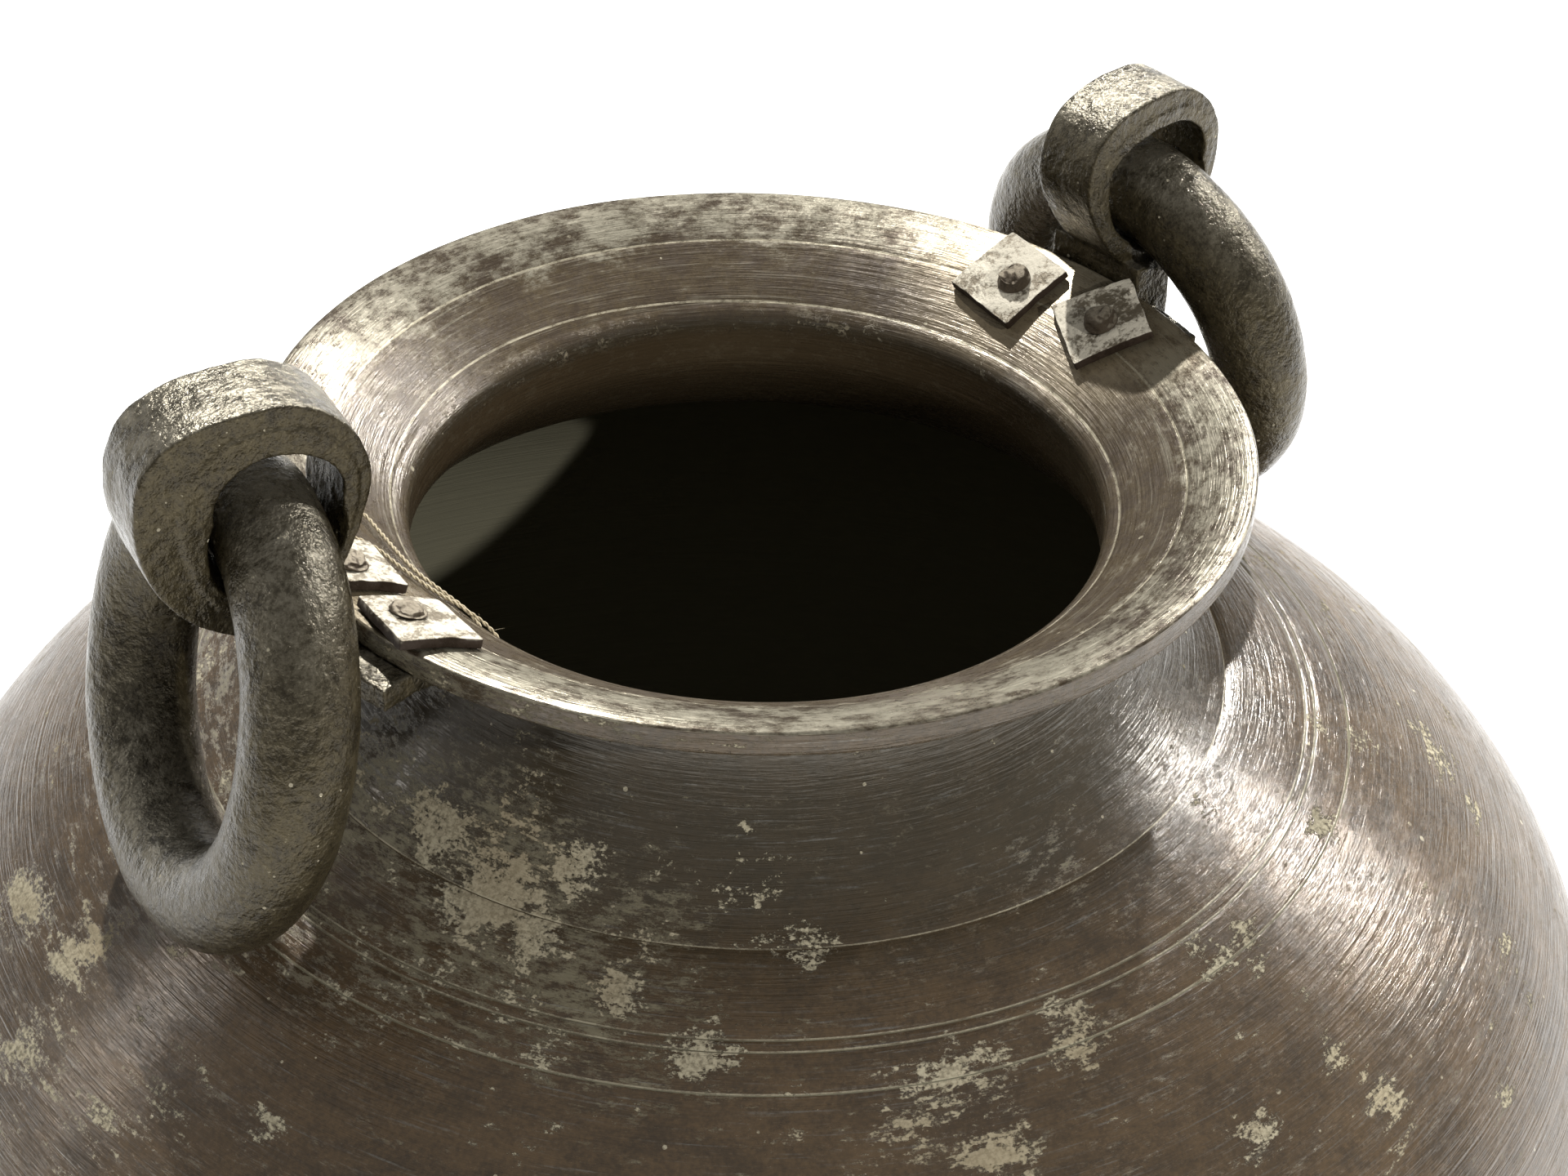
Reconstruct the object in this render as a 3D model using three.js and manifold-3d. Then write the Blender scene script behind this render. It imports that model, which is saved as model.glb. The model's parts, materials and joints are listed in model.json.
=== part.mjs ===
import * as THREE from 'three';
import { mergeVertices } from 'three/addons/utils/BufferGeometryUtils.js';
import Module from 'manifold-3d';

// Round-bellied brass pot with a flared rim, two riveted ears and a ring handle in each ear.
// Lengths are millimetres and bearings are degrees about the pot's axis, counted from +X.
// The flat base stands on Z = 0 and the pot's axis is the Z axis.

// Pot: belly, neck and flared rim
const POT_HEIGHT = 380;
const BELLY_RADIUS = 262.4;
const BELLY_DEPTH = 202.7;
const BELLY_CENTRE_OFFSET = 3.4;
const UPPER_BELLY_RISE = 153.2;
const BASE_CURVE_DEPTH = 6.7;
const BODY_WALL = 2.8;
const FLOOR_THICKNESS = 5;
const NECK_WALL = 5.5;
const WAIST_DEPTH = 31;
const NECK_ROOT_SPREAD = 33;
const ROOT_SWEEP_OUT = 16;
const ROOT_SWEEP_DOWN = 12;
const RIM_RADIUS = 140;
const FLARE_WIDTH = 41.5;
const RIM_THICKNESS = 7.4;
const RIM_EDGE_ROUND = 1.2;
const FLARE_DROP = 21.4;
const FLARE_POWER = 1.63;
const NECK_LIP_ROUND = 2.5;
const NECK_LIP_FALL = 1.2;
const UNDERFLARE_START = 9.5;
const UNDERFLARE_HANDLES = [0.7, 0.5];
const GROOVE_WIDTH = 1.2;
const GROOVE_DEPTH = 0.5;
const FLARE_GROOVE_INSETS = [19.6, 37.4];
const SHOULDER_GROOVE_OFFSETS = [0.6, 24.6, 27.6, 37.9];

// Fits
const SEAT_GAP = 0.3;
const HOLE_CLEARANCE = 0.35;
const HOLE_CUT_LENGTH = 60;
const CUT_OVERRUN = 4;

// Rivets and their square washers
const RIVET_SHANK_RADIUS = 3.8;
const RIVET_HEAD_RADIUS = 5.4;
const RIVET_HEAD_HEIGHT = 4.6;
const RIVET_TAIL_RADIUS = 6.2;
const RIVET_TAIL_HEIGHT = 2.6;
// Sections of the head and the tail, as shares of their radius and height
const RIVET_HEAD_SECTION = [[0.94, 0], [1, 0.35], [0.86, 0.8], [0.5, 1], [0, 0.94]];
const RIVET_TAIL_SECTION = [[0, 1], [0.7, 1], [1, 0.45], [1, 0]];
const WASHER_THICKNESS = 3;
const WASHER_CROWN = 0.7;

// Foot plate and root block of an ear
const PLATE_THICKNESS = 6.5;
const PLATE_INSET = 28;
const BLOCK_DEPTH = 14;
const EAR_EDGE_ROUND = 2.2;
const PLATE_REACH = 9;
const PLATE_MARGIN = 3;
const EYE_OUTER_PLAY = 0.5;
const ROUND_HANDLE = 0.55;

// Where a ring's foot is tried against the shoulder, either side of its lowest point
const CONTACT_SPREAD = 36;
const CONTACT_SPOTS = 8;
const WIDEST_LEAN = 60;
const HALVINGS = 30;

// Each ear with its ring and rivets. The hinge stands outside the rim's edge, the rivets are
// inset from it and lie along it from the ear's bearing, and heights are above the edge
const EARS = [
  {
    side: 'far',
    bearing: 4.1,
    turn: -2.6,
    hingeOffset: 15,
    hingeHeight: 24.3,
    eyeWidth: 22.5,
    eyeShift: -1.2,
    eyeMiddle: 12,
    eyeRise: 24.5,
    eyeInset: 24.5,
    heelHandle: 0.22,
    crownHandles: [0.5, 0.7],
    crownWall: 11,
    outerWall: 7.2,
    innerWall: 8.5,
    footWall: 9,
    blockWidth: 34,
    blockHeight: 7,
    ringRadius: 48.6,
    ringBarRadius: 14.8,
    rivets: [
      { name: 'a', inset: 18.4, along: 15.9, width: 26, length: 26, turn: -13, shift: [1, 2.8] },
      { name: 'b', inset: 16.8, along: -24.7, width: 25.5, length: 26.5, turn: -24, shift: [1, 1.6] },
    ],
  },
  {
    side: 'near',
    bearing: 176,
    turn: -8.7,
    hingeOffset: 15.5,
    hingeHeight: 29,
    eyeWidth: 27,
    eyeShift: 2,
    eyeMiddle: 12,
    eyeRise: 25,
    eyeInset: 18,
    heelHandle: 0.16,
    crownHandles: [0.72, 0.55],
    crownWall: 14,
    outerWall: 20.5,
    innerWall: 8,
    footWall: 13,
    blockWidth: 32,
    blockHeight: 6,
    ringRadius: 53.8,
    ringBarRadius: 15.1,
    rivets: [
      { name: 'a', inset: 9.5, along: 26.9, width: 24.5, length: 26, turn: -16, shift: [-2, 3] },
      { name: 'b', inset: 10.5, along: -3.4, width: 24, length: 25, turn: -4, shift: [-2, -3] },
    ],
  },
];

// Twine: each point is its inset from the rim's edge, its place along the edge from the near
// ear's bearing, and its height over the rim's upper face
const TWINE_RADIUS = 0.6;
const TWINE_SIDES = 8;
const TWINE_STEP = 4;
const TWINE_ROUTE = [
  [44.4, 31.8, -36.1],
  [43.7, 30.8, -22.7],
  [43.4, 27.9, -11.0],
  [43.1, 18.1, -3.6],
  [41.8, 8.3, 0.8],
  [38.4, 0.5, 2.0],
  [35.0, -10.3, 2.2],
  [33.2, -21.0, 2.3],
  [31.1, -35.2, 2.1],
  [27.7, -45.4, 2.1],
  [22.0, -50.8, 1.4],
  [13.0, -54.2, 1.1],
  [4.0, -55.2, 1.3],
  [-0.6, -55.2, 0.9],
  [-2.4, -54.7, -2.4],
  [-2.6, -52.3, -10.0],
  [-2.2, -45.4, -17.6],
  [-1.8, -38.1, -20.0],
  [-2.0, -30.8, -16.6],
  [-2.6, -24.9, -9.0],
  [-2.4, -22.5, -2.2],
  [-0.6, -22.5, 1.0],
  [4.0, -23.5, 1.5],
  [11.0, -24.9, 1.5],
  [15.7, -25.9, 1.5],
  [21.5, -26.4, 1.4],
  [26.6, -23.0, 1.5],
  [30.6, -13.2, 1.4],
  [34.6, -0.5, 1.7],
  [38.6, 11.7, 2.1],
  [41.8, 21.5, 0.7],
  [43.1, 30.8, -5.2],
  [43.6, 39.1, -16.8],
  [44.2, 40.6, -28.3],
];

// Fineness of the curved faces
const BELLY_STEPS = 8;
const INNER_BELLY_STEPS = 6;
const ROOT_STEPS = 6;
const UNDERFLARE_STEPS = 4;
const UNDERSIDE_STEPS = 3;
const FLARE_STEPS = 7;
const LIP_STEPS = 3;
const PLATE_STEPS = 5;
const SWING_STEPS = 6;
const POT_SEGMENTS = 48;
const EYE_SEGMENTS = 7;
const RING_SEGMENTS = 40;
const SWING_SEGMENTS = 20;
const BLOCK_SEGMENTS = 5;
const BAR_SEGMENTS = 12;
const RIVET_SEGMENTS = 12;
const WASHER_CELLS = 4;

const BRASS_DARK = { color: 0x4a3f33, roughness: 0.42, metalness: 0.9 };
const BRASS_FORGED = { color: 0x453d33, roughness: 0.5, metalness: 0.85 };
const WASHER_METAL = { color: 0xb7ac97, roughness: 0.7, metalness: 0.5 };
const RIVET_METAL = { color: 0x6f5644, roughness: 0.55, metalness: 0.8 };
const TWINE_FIBRE = { color: 0xc3b193, roughness: 0.95, metalness: 0 };

// Sizes that follow from the ones above
const NECK_BORE_RADIUS = RIM_RADIUS - FLARE_WIDTH;
const NECK_ROOT_RADIUS = NECK_BORE_RADIUS + NECK_WALL + NECK_ROOT_SPREAD;
const BELLY_LEVEL = POT_HEIGHT - BELLY_DEPTH;
const LOWER_BELLY_DROP = BELLY_LEVEL + BASE_CURVE_DEPTH;
const PLATE_INNER_RADIUS = RIM_RADIUS - PLATE_INSET;
const FLARE_GROOVE_RADII = FLARE_GROOVE_INSETS.map((inset) => RIM_RADIUS - inset);
const SHOULDER_GROOVE_RADII = SHOULDER_GROOVE_OFFSETS.map((offset) => NECK_ROOT_RADIUS + offset);

const wasm = await Module();
wasm.setup();

const radians = THREE.MathUtils.degToRad;
const point = (x, y) => new THREE.Vector2(x, y);

// The angle in degrees that a length along a circle takes up
const spread = (length, radius) => length / radius * THREE.MathUtils.RAD2DEG;

EARS.forEach((ear) => {
  ear.hingeRadius = RIM_RADIUS + ear.hingeOffset;
  ear.rivets.forEach((rivet) => {
    rivet.radius = RIM_RADIUS - rivet.inset;
    rivet.bearing = ear.bearing + spread(rivet.along, RIM_RADIUS);
  });
});

// A closed geometry turned into a solid for joining and cutting
function toSolid(geometry) {
  const bare = geometry.clone();
  bare.deleteAttribute('normal');
  bare.deleteAttribute('uv');
  const merged = mergeVertices(bare, 1e-4);
  return new wasm.Manifold(new wasm.Mesh({
    numProp: 3,
    vertProperties: new Float32Array(merged.attributes.position.array),
    triVerts: new Uint32Array(merged.index.array),
  }));
}

function fromSolid(solid) {
  const mesh = solid.getMesh();
  const geometry = new THREE.BufferGeometry();
  geometry.setAttribute('position', new THREE.BufferAttribute(mesh.vertProperties, 3));
  geometry.setIndex(new THREE.BufferAttribute(mesh.triVerts, 1));
  geometry.computeVertexNormals();
  return geometry;
}

// A lathed solid about the Z axis from a closed outline of radius and height points
function latheAboutZ(outline, segments) {
  const geometry = new THREE.LatheGeometry(outline, segments);
  geometry.rotateX(Math.PI / 2);
  return geometry;
}

// Height of the flared rim's upper face at a radius
function flareTop(radius) {
  const reach = Math.max(0, RIM_RADIUS - radius) / (RIM_RADIUS - NECK_BORE_RADIUS);
  return POT_HEIGHT - FLARE_DROP * reach ** FLARE_POWER;
}

// Slope of the flared rim's upper face at a radius, as an angle
function flareTilt(radius) {
  const span = RIM_RADIUS - NECK_BORE_RADIUS;
  const reach = (RIM_RADIUS - radius) / span;
  return Math.atan(FLARE_DROP * FLARE_POWER * reach ** (FLARE_POWER - 1) / span);
}

const flareUnderside = (radius) => flareTop(radius) - RIM_THICKNESS;

// A point of the belly's outer or inner curve at an angle above the widest circle
function bellyPoint(angle, inset) {
  const span = BELLY_RADIUS - BELLY_CENTRE_OFFSET - inset;
  const rise = (angle > 0 ? UPPER_BELLY_RISE : LOWER_BELLY_DROP) - inset;
  return point(BELLY_CENTRE_OFFSET + span * Math.cos(angle), BELLY_LEVEL + rise * Math.sin(angle));
}

// The belly angle at which its curve passes a radius
function bellyAngle(radius, inset) {
  const span = BELLY_RADIUS - BELLY_CENTRE_OFFSET - inset;
  return Math.acos((radius - BELLY_CENTRE_OFFSET) / span);
}

function bellyArc(from, to, steps, inset) {
  const points = [];
  for (let i = 0; i <= steps; i += 1) {
    points.push(bellyPoint(from + (to - from) * i / steps, inset));
  }
  return points;
}

// The concave sweep from the belly's curve up to the neck's straight waist
function neckRoot(inset, steps) {
  const angle = bellyAngle(NECK_ROOT_RADIUS, inset);
  const start = bellyPoint(angle, inset);
  const before = bellyPoint(angle - 0.01, inset);
  const heading = start.clone().sub(before).normalize();
  const waistRadius = NECK_BORE_RADIUS + NECK_WALL - Math.min(inset, 1) * NECK_WALL;
  const waist = point(waistRadius, POT_HEIGHT - WAIST_DEPTH - inset);
  return new THREE.CubicBezierCurve(
    start,
    start.clone().addScaledVector(heading, ROOT_SWEEP_OUT),
    point(waist.x, waist.y - ROOT_SWEEP_DOWN),
    waist,
  ).getPoints(steps);
}

// Cuts a small V groove into a run of outline points at each radius
function withGrooves(points, radii, heightAt) {
  const grooved = points.filter((p) => radii.every((r) => Math.abs(p.x - r) > GROOVE_WIDTH));
  const inward = points[0].x > points[points.length - 1].x;
  radii.forEach((r) => {
    const half = GROOVE_WIDTH / 2;
    grooved.push(point(r + half, heightAt(r + half)));
    grooved.push(point(r, heightAt(r) - GROOVE_DEPTH));
    grooved.push(point(r - half, heightAt(r - half)));
  });
  return grooved.sort((a, b) => (inward ? b.x - a.x : a.x - b.x));
}

// The pot's whole section, from the middle of the base round the rim to the inner floor
function potOutline() {
  const rootAngle = bellyAngle(NECK_ROOT_RADIUS, 0);
  const innerRootAngle = bellyAngle(NECK_ROOT_RADIUS, BODY_WALL);
  const baseAngle = -Math.asin(BELLY_LEVEL / LOWER_BELLY_DROP);
  const floorDrop = BELLY_LEVEL - FLOOR_THICKNESS;
  const floorAngle = -Math.asin(floorDrop / (LOWER_BELLY_DROP - BODY_WALL));
  const shoulderAt = (r) => bellyPoint(bellyAngle(r, 0), 0).y;

  const lowerBelly = bellyArc(baseAngle, 0, BELLY_STEPS, 0);
  const plainUpper = bellyArc(0, rootAngle, BELLY_STEPS, 0).slice(1);
  const upperBelly = withGrooves(plainUpper, SHOULDER_GROOVE_RADII, shoulderAt);
  const root = neckRoot(0, ROOT_STEPS).slice(1);

  const underStart = NECK_BORE_RADIUS + NECK_WALL + UNDERFLARE_START;
  const underTilt = Math.tan(flareTilt(underStart));
  const waist = root[root.length - 1];
  const [rise, reach] = UNDERFLARE_HANDLES.map((share) => UNDERFLARE_START * share);
  const underFlare = new THREE.CubicBezierCurve(
    waist,
    point(waist.x, waist.y + rise),
    point(underStart - reach, flareUnderside(underStart) - reach * underTilt),
    point(underStart, flareUnderside(underStart)),
  ).getPoints(UNDERFLARE_STEPS).slice(1);

  const underside = [];
  for (let i = 1; i <= UNDERSIDE_STEPS; i += 1) {
    const r = underStart + (RIM_RADIUS - RIM_EDGE_ROUND - underStart) * i / UNDERSIDE_STEPS;
    underside.push(point(r, flareUnderside(r)));
  }
  const edge = [
    point(RIM_RADIUS, POT_HEIGHT - RIM_THICKNESS + RIM_EDGE_ROUND),
    point(RIM_RADIUS, POT_HEIGHT - RIM_EDGE_ROUND),
    point(RIM_RADIUS - RIM_EDGE_ROUND, flareTop(RIM_RADIUS - RIM_EDGE_ROUND)),
  ];

  const flare = [];
  const flareEnd = NECK_BORE_RADIUS + NECK_LIP_ROUND;
  const flareStart = RIM_RADIUS - RIM_EDGE_ROUND;
  for (let i = 1; i <= FLARE_STEPS; i += 1) {
    const r = flareStart + (flareEnd - flareStart) * i / FLARE_STEPS;
    flare.push(point(r, flareTop(r)));
  }
  const lipTilt = Math.tan(flareTilt(flareEnd));
  const lip = new THREE.QuadraticBezierCurve(
    point(flareEnd, flareTop(flareEnd)),
    point(NECK_BORE_RADIUS, flareTop(flareEnd) - NECK_LIP_ROUND * lipTilt),
    point(NECK_BORE_RADIUS, flareTop(flareEnd) - NECK_LIP_ROUND * (lipTilt + NECK_LIP_FALL)),
  ).getPoints(LIP_STEPS).slice(1);

  const innerRoot = neckRoot(BODY_WALL, ROOT_STEPS).reverse();
  const innerUpper = bellyArc(innerRootAngle, 0, INNER_BELLY_STEPS, BODY_WALL).slice(1);
  const innerLower = bellyArc(0, floorAngle, INNER_BELLY_STEPS, BODY_WALL).slice(1);

  return [
    point(0, 0),
    ...lowerBelly,
    ...upperBelly,
    ...root,
    ...underFlare,
    ...underside,
    ...edge,
    ...withGrooves(flare, FLARE_GROOVE_RADII, flareTop),
    ...lip,
    ...innerRoot,
    ...innerUpper,
    ...innerLower,
    point(0, FLOOR_THICKNESS),
  ];
}

// The frame of a rivet: its middle on the rim's upper face, Z along the face's normal
function rivetMatrix(rivet) {
  const bearing = radians(rivet.bearing);
  const place = new THREE.Vector3(
    rivet.radius * Math.cos(bearing),
    rivet.radius * Math.sin(bearing),
    flareTop(rivet.radius),
  );
  const turn = new THREE.Quaternion().setFromEuler(
    new THREE.Euler(0, -flareTilt(rivet.radius), bearing, 'ZYX'),
  );
  return new THREE.Matrix4().compose(place, turn, new THREE.Vector3(1, 1, 1));
}

// The straight hole that a rivet passes through
function rivetHole(rivet) {
  const radius = RIVET_SHANK_RADIUS + HOLE_CLEARANCE;
  const hole = new THREE.CylinderGeometry(radius, radius, HOLE_CUT_LENGTH, RIVET_SEGMENTS);
  hole.rotateX(Math.PI / 2);
  hole.applyMatrix4(rivetMatrix(rivet));
  return toSolid(hole);
}

function makePot() {
  let pot = toSolid(latheAboutZ(potOutline(), POT_SEGMENTS));
  EARS.forEach((ear) => {
    ear.rivets.forEach((rivet) => {
      pot = pot.subtract(rivetHole(rivet));
    });
  });
  return fromSolid(pot);
}

const seatRadius = (ear) => ear.ringBarRadius + SEAT_GAP;

// A closed oval round the hinge point, widest at a level above it; its quarters are filled or
// drawn in by the handles of their curves
function eyeOval(path, middle, outward, up, inward, down, crown, heel) {
  const rise = up - middle;
  const drop = middle + down;
  const [outer, inner] = crown;
  path.moveTo(outward, middle);
  path.bezierCurveTo(outward, middle + outer * rise, outer * outward, up, 0, up);
  path.bezierCurveTo(-inner * inward, up, -inward, middle + inner * rise, -inward, middle);
  path.bezierCurveTo(-inward, middle - heel * drop, -ROUND_HANDLE * inward, -down, 0, -down);
  path.absellipse(0, middle, outward, drop, 1.5 * Math.PI, 2 * Math.PI, false);
  return path;
}

// The hinge frame of an ear: origin on the ring bar's axis, X outward, Y along the eye's bore
function hingeMatrix(ear) {
  const bearing = radians(ear.bearing);
  const place = new THREE.Vector3(
    ear.hingeRadius * Math.cos(bearing),
    ear.hingeRadius * Math.sin(bearing),
    POT_HEIGHT + ear.hingeHeight,
  );
  const turn = new THREE.Quaternion().setFromEuler(
    new THREE.Euler(0, 0, radians(ear.bearing + ear.turn)),
  );
  return new THREE.Matrix4().compose(place, turn, new THREE.Vector3(1, 1, 1));
}

// The thick band bent into an eye
function earEye(ear) {
  const seat = seatRadius(ear);
  const outset = seat + EYE_OUTER_PLAY;
  const outline = eyeOval(
    new THREE.Shape(),
    ear.eyeMiddle,
    outset + ear.outerWall,
    ear.eyeRise + ear.crownWall,
    ear.eyeInset + ear.innerWall,
    seat + ear.footWall,
    ear.crownHandles,
    ear.heelHandle,
  );
  outline.holes.push(eyeOval(
    new THREE.Path(), ear.eyeMiddle, outset, ear.eyeRise, ear.eyeInset, seat,
    [ROUND_HANDLE, ROUND_HANDLE], ROUND_HANDLE,
  ));
  const eye = new THREE.ExtrudeGeometry(outline, {
    depth: ear.eyeWidth - 2 * EAR_EDGE_ROUND,
    bevelThickness: EAR_EDGE_ROUND,
    bevelSize: EAR_EDGE_ROUND,
    bevelOffset: -EAR_EDGE_ROUND,
    bevelSegments: 2,
    curveSegments: EYE_SEGMENTS,
  });
  eye.translate(0, 0, EAR_EDGE_ROUND - ear.eyeWidth / 2 - ear.eyeShift);
  eye.rotateX(Math.PI / 2);
  eye.applyMatrix4(hingeMatrix(ear));
  return toSolid(eye);
}

// The waisted space that a ring's bar sweeps through the eye as it swings
function swingSpace(ear) {
  const half = (Math.max(ear.eyeWidth, ear.blockWidth) + BLOCK_DEPTH) / 2;
  const facets = Math.cos(Math.PI / SWING_SEGMENTS);
  const inner = (ear.ringRadius - ear.ringBarRadius) * Math.cos(Math.PI / RING_SEGMENTS);
  const outline = [point(0, -half)];
  for (let i = 0; i <= SWING_STEPS; i += 1) {
    const along = half * (2 * i / SWING_STEPS - 1);
    const reach = ear.ringRadius - Math.sqrt(inner * inner - along * along);
    outline.push(point((reach + SEAT_GAP) / facets, along));
  }
  outline.push(point(0, half));
  const space = new THREE.LatheGeometry(outline, SWING_SEGMENTS);
  space.applyMatrix4(hingeMatrix(ear));
  return toSolid(space);
}

// A block of a ring in plan, between two radii, two bearings and two heights
function sectorBlock(inner, outer, from, to, bottom, top) {
  const plan = new THREE.Shape();
  plan.absarc(0, 0, outer, radians(from), radians(to), false);
  plan.absarc(0, 0, inner, radians(to), radians(from), true);
  const block = new THREE.ExtrudeGeometry(plan, {
    depth: top - bottom,
    bevelEnabled: false,
    curveSegments: BLOCK_SEGMENTS,
  });
  block.translate(0, 0, bottom);
  return toSolid(block);
}

// The layer under the flared rim that the foot plate fills
function plateLayer(inner, outer) {
  const upper = [];
  for (let i = 0; i <= PLATE_STEPS; i += 1) {
    const r = outer + (inner - outer) * i / PLATE_STEPS;
    upper.push(point(r, flareUnderside(r) - SEAT_GAP));
  }
  const lower = upper.map((p) => point(p.x, p.y - PLATE_THICKNESS)).reverse();
  return toSolid(latheAboutZ([...lower, ...upper, lower[0]], POT_SEGMENTS));
}

// The space that the rim, its washers and the gap over them take from an ear
function rimClearance() {
  const inner = NECK_BORE_RADIUS;
  const outer = RIM_RADIUS + SEAT_GAP;
  const rise = 2 * SEAT_GAP;
  const upper = [];
  for (let i = 0; i <= FLARE_STEPS; i += 1) {
    const r = outer + (inner - outer) * i / FLARE_STEPS;
    upper.push(point(r, flareTop(r) + rise));
  }
  const floor = flareUnderside(inner) - SEAT_GAP;
  const base = flareUnderside(RIM_RADIUS) - SEAT_GAP;
  return toSolid(latheAboutZ([
    point(inner, floor),
    point(outer, base),
    ...upper,
    point(inner, floor),
  ], POT_SEGMENTS));
}

function makeEar(ear) {
  const blockInner = RIM_RADIUS + SEAT_GAP;
  const blockFoot = flareUnderside(RIM_RADIUS) - SEAT_GAP - PLATE_THICKNESS;
  const halfBlock = spread(ear.blockWidth / 2, RIM_RADIUS);
  const blockFrom = ear.bearing - halfBlock;
  const blockTo = ear.bearing + halfBlock;
  const block = sectorBlock(
    blockInner, blockInner + BLOCK_DEPTH, blockFrom, blockTo,
    blockFoot, POT_HEIGHT + ear.blockHeight,
  );
  const tailSpread = spread(RIVET_TAIL_RADIUS + PLATE_MARGIN, PLATE_INNER_RADIUS);
  const plateFrom = Math.min(blockFrom, ...ear.rivets.map((rivet) => rivet.bearing - tailSpread));
  const plateTo = Math.max(blockTo, ...ear.rivets.map((rivet) => rivet.bearing + tailSpread));
  const plateOuter = RIM_RADIUS + PLATE_REACH;
  const layer = plateLayer(PLATE_INNER_RADIUS - CUT_OVERRUN, plateOuter + CUT_OVERRUN);
  const plate = layer.intersect(sectorBlock(
    PLATE_INNER_RADIUS, plateOuter, plateFrom, plateTo, blockFoot - FLARE_DROP, POT_HEIGHT,
  ));
  let body = earEye(ear).subtract(rimClearance()).add(block).add(plate).subtract(swingSpace(ear));
  ear.rivets.forEach((rivet) => {
    body = body.subtract(rivetHole(rivet));
  });
  return fromSolid(body);
}

// How far the section of the shoulder lies from a point, measured along its curve's points
function shoulderDistance(radius, height) {
  let nearest = Infinity;
  const curve = bellyArc(0.2, bellyAngle(NECK_ROOT_RADIUS, 0), 240, 0);
  curve.forEach((p) => {
    nearest = Math.min(nearest, Math.hypot(p.x - radius, p.y - height));
  });
  return nearest;
}

// The gap between a ring hung at a lean angle and the pot's shoulder
function ringGap(ear, lean) {
  const toPot = hingeMatrix(ear);
  let nearest = Infinity;
  for (let i = -CONTACT_SPOTS; i <= CONTACT_SPOTS; i += 1) {
    const along = radians(CONTACT_SPREAD) * i / CONTACT_SPOTS;
    const drop = ear.ringRadius * (1 + Math.cos(along));
    const spot = new THREE.Vector3(
      drop * Math.sin(lean),
      ear.ringRadius * Math.sin(along),
      -drop * Math.cos(lean),
    ).applyMatrix4(toPot);
    const gap = shoulderDistance(Math.hypot(spot.x, spot.y), spot.z) - ear.ringBarRadius;
    nearest = Math.min(nearest, gap);
  }
  return nearest;
}

// The lean at which a ring comes to rest on the shoulder, found by halving
function restingLean(ear) {
  let resting = radians(WIDEST_LEAN);
  let touching = 0;
  for (let i = 0; i < HALVINGS; i += 1) {
    const lean = (resting + touching) / 2;
    if (ringGap(ear, lean) > SEAT_GAP) {
      resting = lean;
    } else {
      touching = lean;
    }
  }
  return resting;
}

function makeRing(ear) {
  const ring = new THREE.TorusGeometry(
    ear.ringRadius, ear.ringBarRadius, BAR_SEGMENTS, RING_SEGMENTS,
  );
  ring.rotateY(Math.PI / 2);
  ring.translate(0, 0, -ear.ringRadius);
  ring.rotateY(-restingLean(ear));
  return ring;
}

// A square washer, slightly crowned along the slope of the rim, with its rivet hole
function makeWasher(washer) {
  const plate = new THREE.BoxGeometry(
    washer.width, washer.length, WASHER_THICKNESS, WASHER_CELLS, WASHER_CELLS, 1,
  );
  plate.rotateZ(radians(washer.turn));
  plate.translate(washer.shift[0], washer.shift[1], 0);
  const spots = plate.attributes.position;
  const reach = washer.width / 2;
  for (let i = 0; i < spots.count; i += 1) {
    const along = spots.getX(i) / reach;
    spots.setZ(i, spots.getZ(i) - WASHER_CROWN * along * along);
  }
  const radius = RIVET_SHANK_RADIUS + HOLE_CLEARANCE;
  const hole = new THREE.CylinderGeometry(radius, radius, WASHER_THICKNESS * 4, RIVET_SEGMENTS);
  hole.rotateX(Math.PI / 2);
  const solid = toSolid(plate).subtract(toSolid(hole));
  const seated = fromSolid(solid);
  seated.translate(0, 0, washerLift(washer) + WASHER_THICKNESS / 2);
  return seated;
}

// The height of a washer's middle over the rim that leaves the seat gap at its nearest spot
function washerLift(washer) {
  const toPot = rivetMatrix(washer);
  const turn = radians(washer.turn);
  let sunk = 0;
  for (let i = -6; i <= 6; i += 1) {
    for (let j = -6; j <= 6; j += 1) {
      const u = washer.width * i / 12;
      const v = washer.length * j / 12;
      const x = u * Math.cos(turn) - v * Math.sin(turn) + washer.shift[0];
      const y = u * Math.sin(turn) + v * Math.cos(turn) + washer.shift[1];
      const crown = WASHER_CROWN * (x / (washer.width / 2)) ** 2;
      const spot = new THREE.Vector3(x, y, -crown).applyMatrix4(toPot);
      const radius = Math.hypot(spot.x, spot.y);
      const under = (flareTop(radius) - spot.z) * Math.cos(flareTilt(washer.radius));
      sunk = Math.max(sunk, under);
    }
  }
  return sunk + SEAT_GAP;
}

// The depth along a rivet at which its whole tail lies clear under the foot plate
function tailDepth(rivet) {
  const toPot = rivetMatrix(rivet);
  const stack = RIM_THICKNESS + PLATE_THICKNESS + 2 * SEAT_GAP;
  const tilt = Math.cos(flareTilt(rivet.radius));
  let depth = stack * tilt;
  for (let pass = 0; pass < 6; pass += 1) {
    let above = -Infinity;
    for (let i = 0; i < 12; i += 1) {
      const around = 2 * Math.PI * i / 12;
      const spot = new THREE.Vector3(
        RIVET_TAIL_RADIUS * Math.cos(around),
        RIVET_TAIL_RADIUS * Math.sin(around),
        -depth,
      ).applyMatrix4(toPot);
      above = Math.max(above, spot.z - flareTop(Math.hypot(spot.x, spot.y)) + stack);
    }
    depth += above * tilt;
  }
  return depth;
}

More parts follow.
